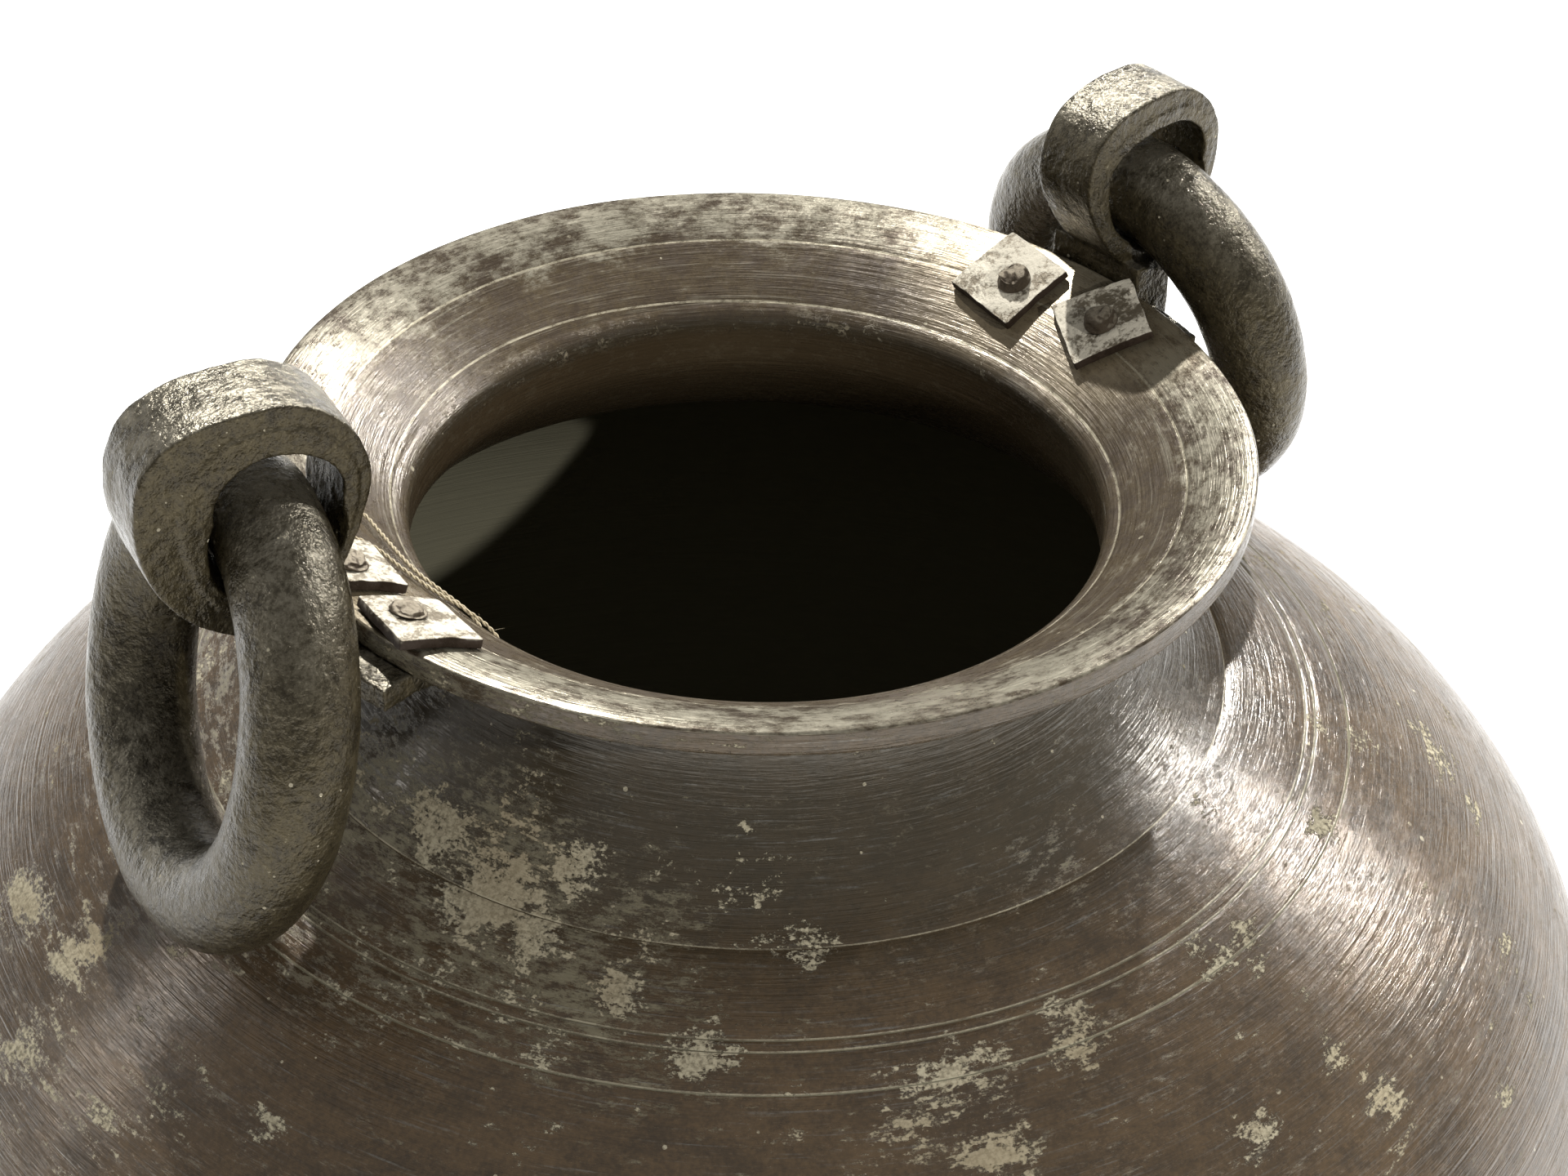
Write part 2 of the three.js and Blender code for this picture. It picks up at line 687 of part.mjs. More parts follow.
// A rivet closed over the washer above and under the foot plate below
function makeRivet(rivet) {
  const headSeat = washerLift(rivet) + WASHER_THICKNESS + SEAT_GAP;
  const tailSeat = -tailDepth(rivet);
  const tail = RIVET_TAIL_SECTION.map(([across, down]) => (
    point(RIVET_TAIL_RADIUS * across, tailSeat - RIVET_TAIL_HEIGHT * down)
  ));
  const head = RIVET_HEAD_SECTION.map(([across, up]) => (
    point(RIVET_HEAD_RADIUS * across, headSeat + RIVET_HEAD_HEIGHT * up)
  ));
  const outline = [
    ...tail,
    point(RIVET_SHANK_RADIUS, tailSeat),
    point(RIVET_SHANK_RADIUS, headSeat),
    ...head,
  ];
  return latheAboutZ(outline, RIVET_SEGMENTS);
}

// The twine, looped round the near ear's root with both ends hanging into the neck
function makeTwine() {
  const nearBearing = EARS.find((ear) => ear.side === 'near').bearing;
  const spots = TWINE_ROUTE.map(([inset, along, lift]) => {
    const radius = RIM_RADIUS - inset;
    const bearing = radians(nearBearing + spread(along, RIM_RADIUS));
    return new THREE.Vector3(
      radius * Math.cos(bearing),
      radius * Math.sin(bearing),
      flareTop(radius) + lift,
    );
  });
  const route = new THREE.CatmullRomCurve3(spots);
  const section = new THREE.Shape();
  for (let i = 0; i < TWINE_SIDES; i += 1) {
    const angle = 2 * Math.PI * i / TWINE_SIDES;
    section[i ? 'lineTo' : 'moveTo'](TWINE_RADIUS * Math.cos(angle), TWINE_RADIUS * Math.sin(angle));
  }
  return new THREE.ExtrudeGeometry(section, {
    extrudePath: route,
    steps: Math.round(route.getLength() / TWINE_STEP),
    bevelEnabled: false,
  });
}

function named(name, geometry, look) {
  const mesh = new THREE.Mesh(geometry, new THREE.MeshStandardMaterial(look));
  mesh.name = name;
  return mesh;
}

// Places a mesh by a frame, as its position and rotation
function placed(mesh, matrix) {
  matrix.decompose(mesh.position, mesh.quaternion, mesh.scale);
  return mesh;
}

const pot = new THREE.Group();
pot.add(named('pot_body', makePot(), BRASS_DARK));
EARS.forEach((ear) => {
  const fittings = new THREE.Group();
  fittings.add(named(`ear_${ear.side}`, makeEar(ear), BRASS_FORGED));
  fittings.add(placed(named(`ring_${ear.side}`, makeRing(ear), BRASS_FORGED), hingeMatrix(ear)));
  ear.rivets.forEach((rivet) => {
    const frame = rivetMatrix(rivet);
    const suffix = `${ear.side}_${rivet.name}`;
    fittings.add(placed(named(`washer_${suffix}`, makeWasher(rivet), WASHER_METAL), frame));
    fittings.add(placed(named(`rivet_${suffix}`, makeRivet(rivet), RIVET_METAL), frame));
  });
  pot.add(fittings);
});
pot.add(named('twine', makeTwine(), TWINE_FIBRE));

export default pot;
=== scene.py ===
"""Old round-bellied brass pot with a flared rim, riveted ears and swinging ring handles.

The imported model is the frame. Every piece is built in millimetres in the model's own axes, made a
mesh in metres, dressed, and set to ride on the body that carries it.
"""

import json
import logging
import math
from dataclasses import dataclass, field
from enum import Enum

import bmesh
import bpy
import numpy as np
from mathutils import Matrix, Vector, noise

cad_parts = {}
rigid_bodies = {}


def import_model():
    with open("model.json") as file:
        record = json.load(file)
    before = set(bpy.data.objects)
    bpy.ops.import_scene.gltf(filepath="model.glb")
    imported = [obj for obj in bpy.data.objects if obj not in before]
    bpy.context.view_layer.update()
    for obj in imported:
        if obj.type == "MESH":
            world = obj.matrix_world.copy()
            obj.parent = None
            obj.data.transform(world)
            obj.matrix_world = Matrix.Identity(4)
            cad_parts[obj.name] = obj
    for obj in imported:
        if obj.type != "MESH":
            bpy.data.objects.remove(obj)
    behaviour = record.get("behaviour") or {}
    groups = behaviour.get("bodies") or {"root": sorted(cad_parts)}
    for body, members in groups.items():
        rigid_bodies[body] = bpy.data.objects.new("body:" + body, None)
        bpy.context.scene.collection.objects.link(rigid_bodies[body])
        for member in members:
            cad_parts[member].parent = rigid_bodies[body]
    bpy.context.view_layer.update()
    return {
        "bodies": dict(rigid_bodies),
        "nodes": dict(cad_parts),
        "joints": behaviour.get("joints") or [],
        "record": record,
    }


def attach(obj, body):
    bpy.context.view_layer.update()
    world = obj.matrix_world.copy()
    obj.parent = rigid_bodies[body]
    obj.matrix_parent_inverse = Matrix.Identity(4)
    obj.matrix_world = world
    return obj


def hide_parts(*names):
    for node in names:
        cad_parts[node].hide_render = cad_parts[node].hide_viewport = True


LOG = logging.getLogger("brass_pot")
MM = 0.001


class Side(Enum):
    """The two ears, named by where they stand for someone looking at the pot."""

    FAR = "far"
    NEAR = "near"


class Body(Enum):
    """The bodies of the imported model."""

    POT = "pot"
    RING_FAR = "ring_far"
    RING_NEAR = "ring_near"


class Slot(Enum):
    """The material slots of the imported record."""

    POT = "pot_brass"
    FORGED = "forged_brass"
    WASHER = "washer_metal"
    RIVET = "rivet_metal"
    TWINE = "twine_fibre"


# Helpers for meshes and materials


def linear(code: str) -> tuple[float, float, float, float]:
    """Turn an sRGB hex colour into the linear colour that shaders take.

    Args:
        code: Six hex digits with a leading hash.

    Returns:
        Red, green, blue and full alpha.
    """
    channels = [int(code[i : i + 2], 16) / 255 for i in (1, 3, 5)]
    low = [c / 12.92 if c <= 0.04045 else ((c + 0.055) / 1.055) ** 2.4 for c in channels]
    return (low[0], low[1], low[2], 1.0)


def wire(tree: bpy.types.NodeTree, kind: str, inputs: dict | None = None, **settings) -> bpy.types.Node:
    """Add a shader node with its settings, its values and its links.

    Args:
        tree: The node tree to add to.
        kind: The node's type without its ShaderNode prefix.
        inputs: A value, a socket or a node (its first output) for each named or numbered input.
        **settings: The node's own properties.

    Returns:
        The new node.
    """
    made = tree.nodes.new("ShaderNode" + kind)
    for key, value in settings.items():
        setattr(made, key, value)
    for key, value in (inputs or {}).items():
        source = value.outputs[0] if isinstance(value, bpy.types.Node) else value
        if isinstance(source, bpy.types.NodeSocket):
            tree.links.new(source, made.inputs[key])
        else:
            made.inputs[key].default_value = source
    return made


def fresh_material(name: str) -> tuple[bpy.types.Material, bpy.types.NodeTree]:
    """Make an empty node material.

    Args:
        name: The material's name.

    Returns:
        The material and its empty node tree.
    """
    material = bpy.data.materials.new(name)
    material.use_nodes = True
    material.node_tree.nodes.clear()
    return material, material.node_tree


def loft(name: str, loops: np.ndarray, wrap: bool = False) -> bpy.types.Object:
    """Skin a row of closed loops into one closed mesh object.

    Args:
        name: The object's name.
        loops: Points in millimetres, as loops by points by three.
        wrap: True joins the last loop to the first; False closes both ends with caps.

    Returns:
        The new object, smooth shaded, with its faces turned outward.
    """
    count, around, _ = loops.shape
    first = np.arange(count if wrap else count - 1)[:, None]
    second = (first + 1) % count
    here = np.arange(around)[None, :]
    there = (here + 1) % around
    quads = np.stack(
        [first * around + here, second * around + here, second * around + there, first * around + there],
        axis=-1,
    ).reshape(-1, 4)
    faces = quads.tolist()
    if not wrap:
        faces.append(list(range(around)))
        faces.append(list(range(count * around - around, count * around)))
    mesh = bpy.data.meshes.new(name)
    mesh.from_pydata((loops.reshape(-1, 3) * MM).tolist(), [], faces)
    shell = bmesh.new()
    shell.from_mesh(mesh)
    bmesh.ops.recalc_face_normals(shell, faces=shell.faces)
    shell.to_mesh(mesh)
    shell.free()
    mesh.shade_smooth()
    piece = bpy.data.objects.new(name, mesh)
    bpy.context.scene.collection.objects.link(piece)
    return piece


def revolved(outline: list[tuple[float, float]], segments: int) -> np.ndarray:
    """Turn an outline of radius and height about the Z axis.

    Args:
        outline: Radius and height of each point, in millimetres.
        segments: Points in each circle.

    Returns:
        Loops for loft.
    """
    angles = np.arange(segments) * 2 * math.pi / segments
    spots = np.array(outline)
    radii = np.maximum(spots[:, 0], 0.01)[:, None]
    heights = np.repeat(spots[:, 1][:, None], segments, axis=1)
    return np.stack([radii * np.cos(angles), radii * np.sin(angles), heights], axis=-1)


def moved(points: np.ndarray, place: Matrix) -> np.ndarray:
    """Carry points through a 4 by 4 matrix, both in millimetres."""
    turn = np.array(place.to_3x3())
    return points @ turn.T + np.array(place.to_translation())


def reshaped(piece: bpy.types.Object, shift) -> None:
    """Move each vertex of a piece by a rule.

    Args:
        piece: The piece to change.
        shift: Takes a vertex's place and normal in millimetres and returns its new place.
    """
    mesh = piece.data
    places = np.empty(len(mesh.vertices) * 3)
    normals = np.empty(len(mesh.vertices) * 3)
    mesh.vertices.foreach_get("co", places)
    mesh.vertices.foreach_get("normal", normals)
    rows = zip((places / MM).reshape(-1, 3).tolist(), normals.reshape(-1, 3).tolist())
    shifted = [tuple(shift(Vector(place), Vector(normal))) for place, normal in rows]
    mesh.vertices.foreach_set("co", (np.array(shifted) * MM).ravel())
    mesh.update()


def cut(piece: bpy.types.Object, *tools: bpy.types.Object) -> None:
    """Cut tools out of a piece and throw the tools away.

    Args:
        piece: The piece to cut.
        *tools: Closed meshes that show what goes.
    """
    for tool in tools:
        step = piece.modifiers.new("cut", "BOOLEAN")
        step.operation = "DIFFERENCE"
        step.solver = "MANIFOLD"
        step.object = tool
    settle(piece)


def settle(piece: bpy.types.Object) -> None:
    """Make a piece's modifiers final and clear them."""
    seen = piece.evaluated_get(bpy.context.evaluated_depsgraph_get())
    mesh = bpy.data.meshes.new_from_object(seen)
    piece.modifiers.clear()
    piece.data = mesh


def join(name: str, parts: list[bpy.types.Object]) -> bpy.types.Object:
    """Put the meshes of several objects into one object.

    Args:
        name: The name of the object that is left.
        parts: The objects, which are removed.

    Returns:
        The joined object.
    """
    whole = bmesh.new()
    for part in parts:
        whole.from_mesh(part.data)
        bpy.data.objects.remove(part)
    mesh = bpy.data.meshes.new(name)
    whole.to_mesh(mesh)
    whole.free()
    piece = bpy.data.objects.new(name, mesh)
    bpy.context.scene.collection.objects.link(piece)
    return piece


def finished(piece: bpy.types.Object, finish: bpy.types.Material, body: Body, slot: Slot, *nodes: str) -> None:
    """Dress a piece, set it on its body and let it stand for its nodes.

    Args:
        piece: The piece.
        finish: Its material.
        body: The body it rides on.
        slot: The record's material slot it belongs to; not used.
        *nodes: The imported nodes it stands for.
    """
    piece.data.materials.clear()
    piece.data.materials.append(finish)
    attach(piece, body.value)
    if nodes:
        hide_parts(*nodes)
    LOG.info("%s: %d faces on %s", piece.name, len(piece.data.polygons), body.value)


# Finishes


@dataclass(frozen=True)
class TurnedBrass:
    """Cast brass, turned on a lathe and left to age under a dark brown oxide.

    The turning leaves fine rings, which draw the shine out across them. Lime and dust from years of
    water stand on the oxide as a grey green haze round the neck's root and as pale, rough crusts
    lower down, and handling keeps the rim's upper face lighter; more of that pale colour on the rim's
    outer band is a painted sheen.
    """

    oxide_dark: str = "#463b2e"
    oxide_warm: str = "#62503a"
    oxide_root: str = "#3f3a2e"
    rim_warm: str = "#544835"
    haze: str = "#827b65"
    lime: str = "#837b67"
    lime_pale: str = "#b0a78f"
    ochre: str = "#8b7d63"
    # Pale colour of the rim's upper face: handling wear, and on the outer band also a painted sheen
    rubbed: str = "#97917f"
    bare: str = "#96958f"
    throat: str = "#4c3f2d"
    inside: str = "#6f6b59"
    turning_pitch: float = 1.2
    crust_size: float = 13.0
    haze_size: float = 3.3
    grain: float = 1.3
    line_width: float = 0.6
    clean_side: tuple[float, float, float] = (0.6, -0.8, 0.0)
    belly_lines: tuple[float, ...] = (137.6, 161.6, 164.6, 174.9)
    rim_lines: tuple[float, ...] = (120.4, 102.6)
    dusty: tuple[tuple[float, float, float, float], ...] = ((12, 120, 376, 22), (-7, 122, 376, 22), (180, 128, 378, 18))
    crusts: tuple[tuple[float, float, float, float], ...] = (
        (-46, 176, 291, 13),
        (-37, 200, 277, 9),
        (-40, 206, 273, 10),
        (-44, 214, 267, 6),
        (-56, 227, 254, 7),
        (-58, 234, 248, 9),
        (-64, 232, 250, 7),
        (-67, 239, 241, 5),
        (-78, 221, 261, 7),
        (-90, 211, 269, 9),
        (-80, 206, 273, 5),
        (-61, 171, 294, 7),
        (-83, 170, 294, 8),
        (-79, 174, 292, 7),
        (-100, 173, 293, 9),
        (-115, 178, 290, 11),
        (-111, 179, 290, 16),
        (-110, 189, 284, 12),
        (-128, 123, 317, 8),
        (-123, 137, 308, 9),
        (-131, 113, 329, 6),
        (-69, 143, 306, 5),
        (-160, 136, 309, 11),
        (-170, 127, 314, 8),
        (-151, 124, 316, 7),
        (-133, 167, 296, 7),
        (161, 213, 267, 14),
        (170, 210, 269, 12),
        (173, 230, 251, 16),
        (-174, 216, 265, 13),
        (-178, 230, 252, 12),
        (180, 204, 274, 6),
        (-166, 209, 270, 7),
        (-142, 152, 302, 6),
        (-152, 143, 306, 6),
    )

    def clusters(self, tree: bpy.types.NodeTree, place: bpy.types.NodeSocket, spots: tuple) -> bpy.types.Node:
        """Where something has gathered in spots.

        Args:
            tree: The material's tree.
            place: The place on the pot.
            spots: Bearing, radius, height and reach of each spot.

        Returns:
            A node that is 1 in the middle of a spot and 0 away from all.
        """
        whole = None
        for bearing, radius, height, reach in spots:
            turn = math.radians(bearing)
            middle = Vector((radius * math.cos(turn), radius * math.sin(turn), height)) * MM
            away = wire(tree, "VectorMath", {0: place, 1: middle}, operation="DISTANCE").outputs["Value"]
            ranges = {"Value": away, "From Min": 0.4 * reach * MM, "From Max": 1.7 * reach * MM}
            near = wire(tree, "MapRange", ranges | {"To Min": 1.0, "To Max": 0.0})
            whole = near if whole is None else wire(tree, "Math", {0: whole, 1: near}, operation="MAXIMUM")
        return whole

    def build(self) -> bpy.types.Material:
        """Make the material.

        Returns:
            The pot's finish.
        """
        material, tree = fresh_material("turned_brass_patina")

        def math_of(operation: str, *values) -> bpy.types.Node:
            """Do a sum with nodes or numbers."""
            return wire(tree, "Math", dict(enumerate(values)), operation=operation)

        def ramp(value, low: float, high: float, to_low: float = 0.0, to_high: float = 1.0) -> bpy.types.Node:
            """Turn a run of values into another run, eased at both ends."""
            runs = {"Value": value, "From Min": low, "From Max": high, "To Min": to_low, "To Max": to_high}
            return wire(tree, "MapRange", runs, interpolation_type="SMOOTHSTEP")

        def mixed(share, below, above) -> bpy.types.NodeSocket:
            """Mix two colours, each a hex code or a socket."""
            pair = [linear(c) if isinstance(c, str) else c for c in (below, above)]
            return wire(tree, "Mix", {0: share, 6: pair[0], 7: pair[1]}, data_type="RGBA").outputs[2]

        place = wire(tree, "TexCoord").outputs["Object"]
        axes = wire(tree, "SeparateXYZ", {0: place})
        height = axes.outputs[2]
        flat = wire(tree, "CombineXYZ", {0: axes.outputs[0], 1: axes.outputs[1]})
        radius = wire(tree, "VectorMath", {0: flat}, operation="LENGTH").outputs["Value"]
        outward = wire(tree, "SeparateXYZ", {0: wire(tree, "VectorMath", {0: flat}, operation="NORMALIZE")})

        def drawn_out(along: float, across: float, **inputs) -> bpy.types.Node:
            """Noise drawn out round the pot, with cells in millimetres at the neck's root."""
            spin = 150 / along
            vector = wire(
                tree,
                "CombineXYZ",
                {
                    0: math_of("MULTIPLY", outward.outputs[0], spin),
                    1: math_of("MULTIPLY", outward.outputs[1], spin),
                    2: math_of("MULTIPLY", radius, 1 / (across * MM)),
                },
            )
            depth = math_of("MULTIPLY", height, 1 / (across * MM))
            settings = {"Vector": vector, "W": depth, "Scale": 1.0} | inputs
            return wire(tree, "TexNoise", settings, noise_dimensions="4D")

        turning = drawn_out(45, self.turning_pitch, Detail=3.0, Roughness=0.6)
        region = wire(tree, "TexNoise", {"Vector": place, "Scale": 1 / 0.075, "Detail": 2.0})
        patches = drawn_out(
            self.crust_size * 1.25, self.crust_size * 0.8, Detail=9.0, Roughness=0.74, Distortion=0.3
        )
        mottle = drawn_out(self.haze_size * 2.2, self.haze_size * 0.8, Detail=8.0, Roughness=0.85)
        grain = wire(
            tree,
            "TexNoise",
            {"Vector": place, "Scale": 1 / (self.grain * MM), "Detail": 2.0, "Roughness": 0.7},
        )
        faces = wire(tree, "SeparateXYZ", {0: wire(tree, "NewGeometry").outputs["True Normal"]})
        upward = ramp(faces.outputs[2], 0.15, 0.55)
        turned_out = math_of("MULTIPLY", faces.outputs[0], outward.outputs[0])
        facing_out = math_of("MULTIPLY_ADD", faces.outputs[1], outward.outputs[1], turned_out)
        inside = math_of("MULTIPLY", math_of("LESS_THAN", facing_out, 0.0), ramp(height, 0.352, 0.359, 1.0, 0.0))
        rim = math_of("MULTIPLY", ramp(height, 0.3535, 0.362), upward)
        rim_outer = math_of("MULTIPLY", rim, ramp(radius, 0.112, 0.126))
        outside = math_of("SUBTRACT", 1.0, math_of("MAXIMUM", rim, inside))

        # Haze, thickest about the neck's root
        near_root = math_of("MULTIPLY", ramp(radius, 0.205, 0.165), ramp(radius, 0.108, 0.13, 0.4, 1.0))
        haze_base = math_of("MULTIPLY_ADD", region, 0.33, mottle)
        toward = wire(tree, "VectorMath", {0: flat, 1: self.clean_side}, operation="DOT_PRODUCT").outputs["Value"]
        clean = ramp(toward, -0.03, 0.08, 0.0, -0.09)
        root_all = math_of("MULTIPLY_ADD", near_root, 0.09, clean)
        root = math_of("MAXIMUM", root_all, 0.0)
        haze_sum = math_of("MULTIPLY_ADD", near_root, 0.13, math_of("ADD", haze_base, clean))
        haze_all = ramp(haze_sum, 0.77, 0.87, 0.0, 0.8)
        specks = ramp(mottle, 0.57, 0.66, 0.0, 0.75)
        haze = math_of("MULTIPLY", math_of("MAXIMUM", haze_all, specks), outside)

        # Thick crusts
        crust_base = math_of("MULTIPLY_ADD", region, 0.3, patches)
        crust_broken = math_of("MULTIPLY_ADD", mottle, 0.95, crust_base)
        crust_grainy = math_of("MULTIPLY_ADD", grain, 0.25, crust_broken)
        crust_spotted = math_of("MULTIPLY_ADD", self.clusters(tree, place, self.crusts), 0.175, crust_grainy)
        # The photo shows only the front; elsewhere the crusts are strewn at random
        behind = ramp(wire(tree, "VectorMath", {0: flat, 1: (0.53, 0.62, 0.0)}, operation="DOT_PRODUCT").outputs["Value"], 0.0, 0.05)
        strewn = math_of("MULTIPLY", math_of("MAXIMUM", behind, ramp(height, 0.235, 0.2)), 0.05)
        crust_sum = math_of("ADD", math_of("ADD", crust_spotted, strewn), root)
        crust_all = ramp(crust_sum, 1.42, 1.46)
        crust = math_of("MULTIPLY", crust_all, outside)

        # Small pale dots
        dots = wire(tree, "TexVoronoi", {"Vector": place, "Scale": 1 / 0.007})
        dot_pick = wire(tree, "SeparateColor", {0: dots.outputs["Color"]})
        dot_size = wire(tree, "MapRange", {"Value": dot_pick.outputs[0], "From Min": 0.6, "To Max": 0.13})
        dot_all = math_of("LESS_THAN", dots.outputs["Distance"], dot_size)
        dot = math_of("MULTIPLY", dot_all, ramp(mottle, 0.4, 0.55))

        # Pale dust in the scribed rings
        def scribed(radii: tuple[float, ...], where: bpy.types.Node) -> bpy.types.Node:
            """Thin rings at the given radii, broken here and there."""
            lines = None
            for line in radii:
                near = math_of("COMPARE", radius, line * MM, self.line_width / 2 * MM)
                lines = near if lines is None else math_of("MAXIMUM", lines, near)
            dusted = math_of("MULTIPLY", lines, ramp(mottle, 0.38, 0.56, 0.15, 0.8))
            return math_of("MULTIPLY", dusted, where)

        on_belly = math_of("MULTIPLY", outside, upward)
        lines = math_of("MAXIMUM", scribed(self.belly_lines, on_belly), scribed(self.rim_lines, rim))

        # Bare scratched metal, which sparkles where a lamp reflects
        scratches = drawn_out(18, 0.8, Detail=3.0, Roughness=0.7)
        scratch = math_of("MULTIPLY_ADD", grain, 0.2, scratches)
        bare_all = ramp(scratch, 0.66, 0.86, 0.0, 0.45)
        bare_cover = math_of("SUBTRACT", 1.0, math_of("MAXIMUM", crust, math_of("MAXIMUM", inside, rim)))
        bare = math_of("MULTIPLY", bare_all, bare_cover)

        # Colours from the bottom layer up
        clouds = math_of("MULTIPLY_ADD", grain, 0.5, patches)
        brown = mixed(ramp(clouds, 0.55, 0.95), self.oxide_dark, self.oxide_warm)
        rooted = mixed(ramp(radius, 0.165, 0.115, 0.0, 0.75), brown, self.oxide_root)
        hazed = mixed(haze, rooted, self.haze)
        lime_plain = mixed(ramp(grain, 0.35, 0.65), self.lime, self.lime_pale)
        lime = mixed(ramp(region, 0.5, 0.7, 0.0, 0.6), lime_plain, self.ochre)
        crusted = mixed(crust, hazed, lime)
        # Pale patches on the rim are handling wear; the extra share toward the outer band is a painted sheen
        rub_base = math_of("MULTIPLY_ADD", patches, 0.7, math_of("MULTIPLY", mottle, 0.6))
        rub_and_sheen_sum = math_of("MULTIPLY_ADD", rim_outer, 0.15, rub_base)
        rim_brown = mixed(ramp(clouds, 0.6, 0.9), self.oxide_dark, self.rim_warm)
        rim_lined = mixed(ramp(turning, 0.56, 0.68, 0.0, 0.35), rim_brown, self.rubbed)
        rim_rubbed_and_sheen = mixed(ramp(rub_and_sheen_sum, 0.7, 0.88, 0.0, 0.8), rim_lined, self.rubbed)
        gathered = math_of("MULTIPLY", self.clusters(tree, place, self.dusty), ramp(mottle, 0.3, 0.6, 0.3, 0.9))
        rim_colour = mixed(gathered, rim_rubbed_and_sheen, self.ochre)
        rimmed = mixed(rim, crusted, rim_colour)
        scratched = mixed(bare, rimmed, self.bare)
        specked = mixed(math_of("MAXIMUM", dot, lines), scratched, self.lime_pale)
        depths = mixed(ramp(height, 0.29, 0.31), self.inside, self.throat)
        spotted = mixed(ramp(mottle, 0.5, 0.8, 0.0, 0.5), depths, self.haze)
        colour = mixed(inside, specked, spotted)

        # Crust is rough and not metal; bare oxide keeps a soft shine
        cover = math_of("MAXIMUM", crust, math_of("MULTIPLY", haze, 0.55))
        shine = math_of("MULTIPLY_ADD", rim, 0.05, ramp(mottle, 0.35, 0.65, 0.18, 0.32))
        deep = math_of("MULTIPLY", inside, ramp(height, 0.29, 0.31, 1.0, 0.0))
        matt = math_of("MAXIMUM", cover, deep)
        roughness = wire(tree, "Mix", {0: matt, 2: shine, 3: 0.85}, data_type="FLOAT").outputs[0]
        rim_metal = math_of("MULTIPLY", rim_outer, 0.5)
        metal_share = math_of("MULTIPLY_ADD", math_of("MAXIMUM", bare, rim_metal), 0.6, 0.3)
        edge = wire(tree, "LayerWeight", {"Blend": 0.5}).outputs["Facing"]
        dull_edge = math_of("MAXIMUM", matt, math_of("MULTIPLY", ramp(edge, 0.45, 0.8, 0.0, 0.9), outside))
        metallic = wire(tree, "Mix", {0: dull_edge, 2: metal_share, 3: 0.0}, data_type="FLOAT").outputs[0]
        gloss = wire(tree, "Mix", {0: dull_edge, 2: 0.5, 3: 0.05}, data_type="FLOAT").outputs[0]

        # Heights in millimetres: dents of the hammer, turning rings, grain and the crust's thickness
        dents = wire(tree, "TexNoise", {"Vector": place, "Scale": 1 / 0.016, "Detail": 1.0})
        dented = math_of("MULTIPLY", dents, 0.3)
        ringed = math_of("MULTIPLY_ADD", turning, 0.3, math_of("MULTIPLY_ADD", scratches, 0.22, dented))
        grained = math_of("MULTIPLY_ADD", grain, 0.035, ringed)
        hazed_up = math_of("MULTIPLY_ADD", haze, 0.05, grained)
        relief = math_of("MULTIPLY_ADD", crust, 0.35, hazed_up)
        bump = wire(tree, "Bump", {"Height": relief, "Distance": MM, "Strength": 1.0})
        around = wire(tree, "Tangent", direction_type="RADIAL", axis="Z")
        film = math_of("MULTIPLY_ADD", math_of("MAXIMUM", dull_edge, rim), -0.3, 0.3)
        shader = wire(
            tree,
            "BsdfPrincipled",
            {
                "Base Color": colour,
                "Roughness": roughness,
                "Metallic": metallic,
                "Specular IOR Level": gloss,
                "Anisotropic": 0.65,
                "Anisotropic Rotation": 0.25,
                "Coat Weight": film,
                "Coat Roughness": 0.24,
                "Coat Normal": bump,
                "Normal": bump,
                "Tangent": around,
            },
        )
        wire(tree, "OutputMaterial", {"Surface": shader})
        return material


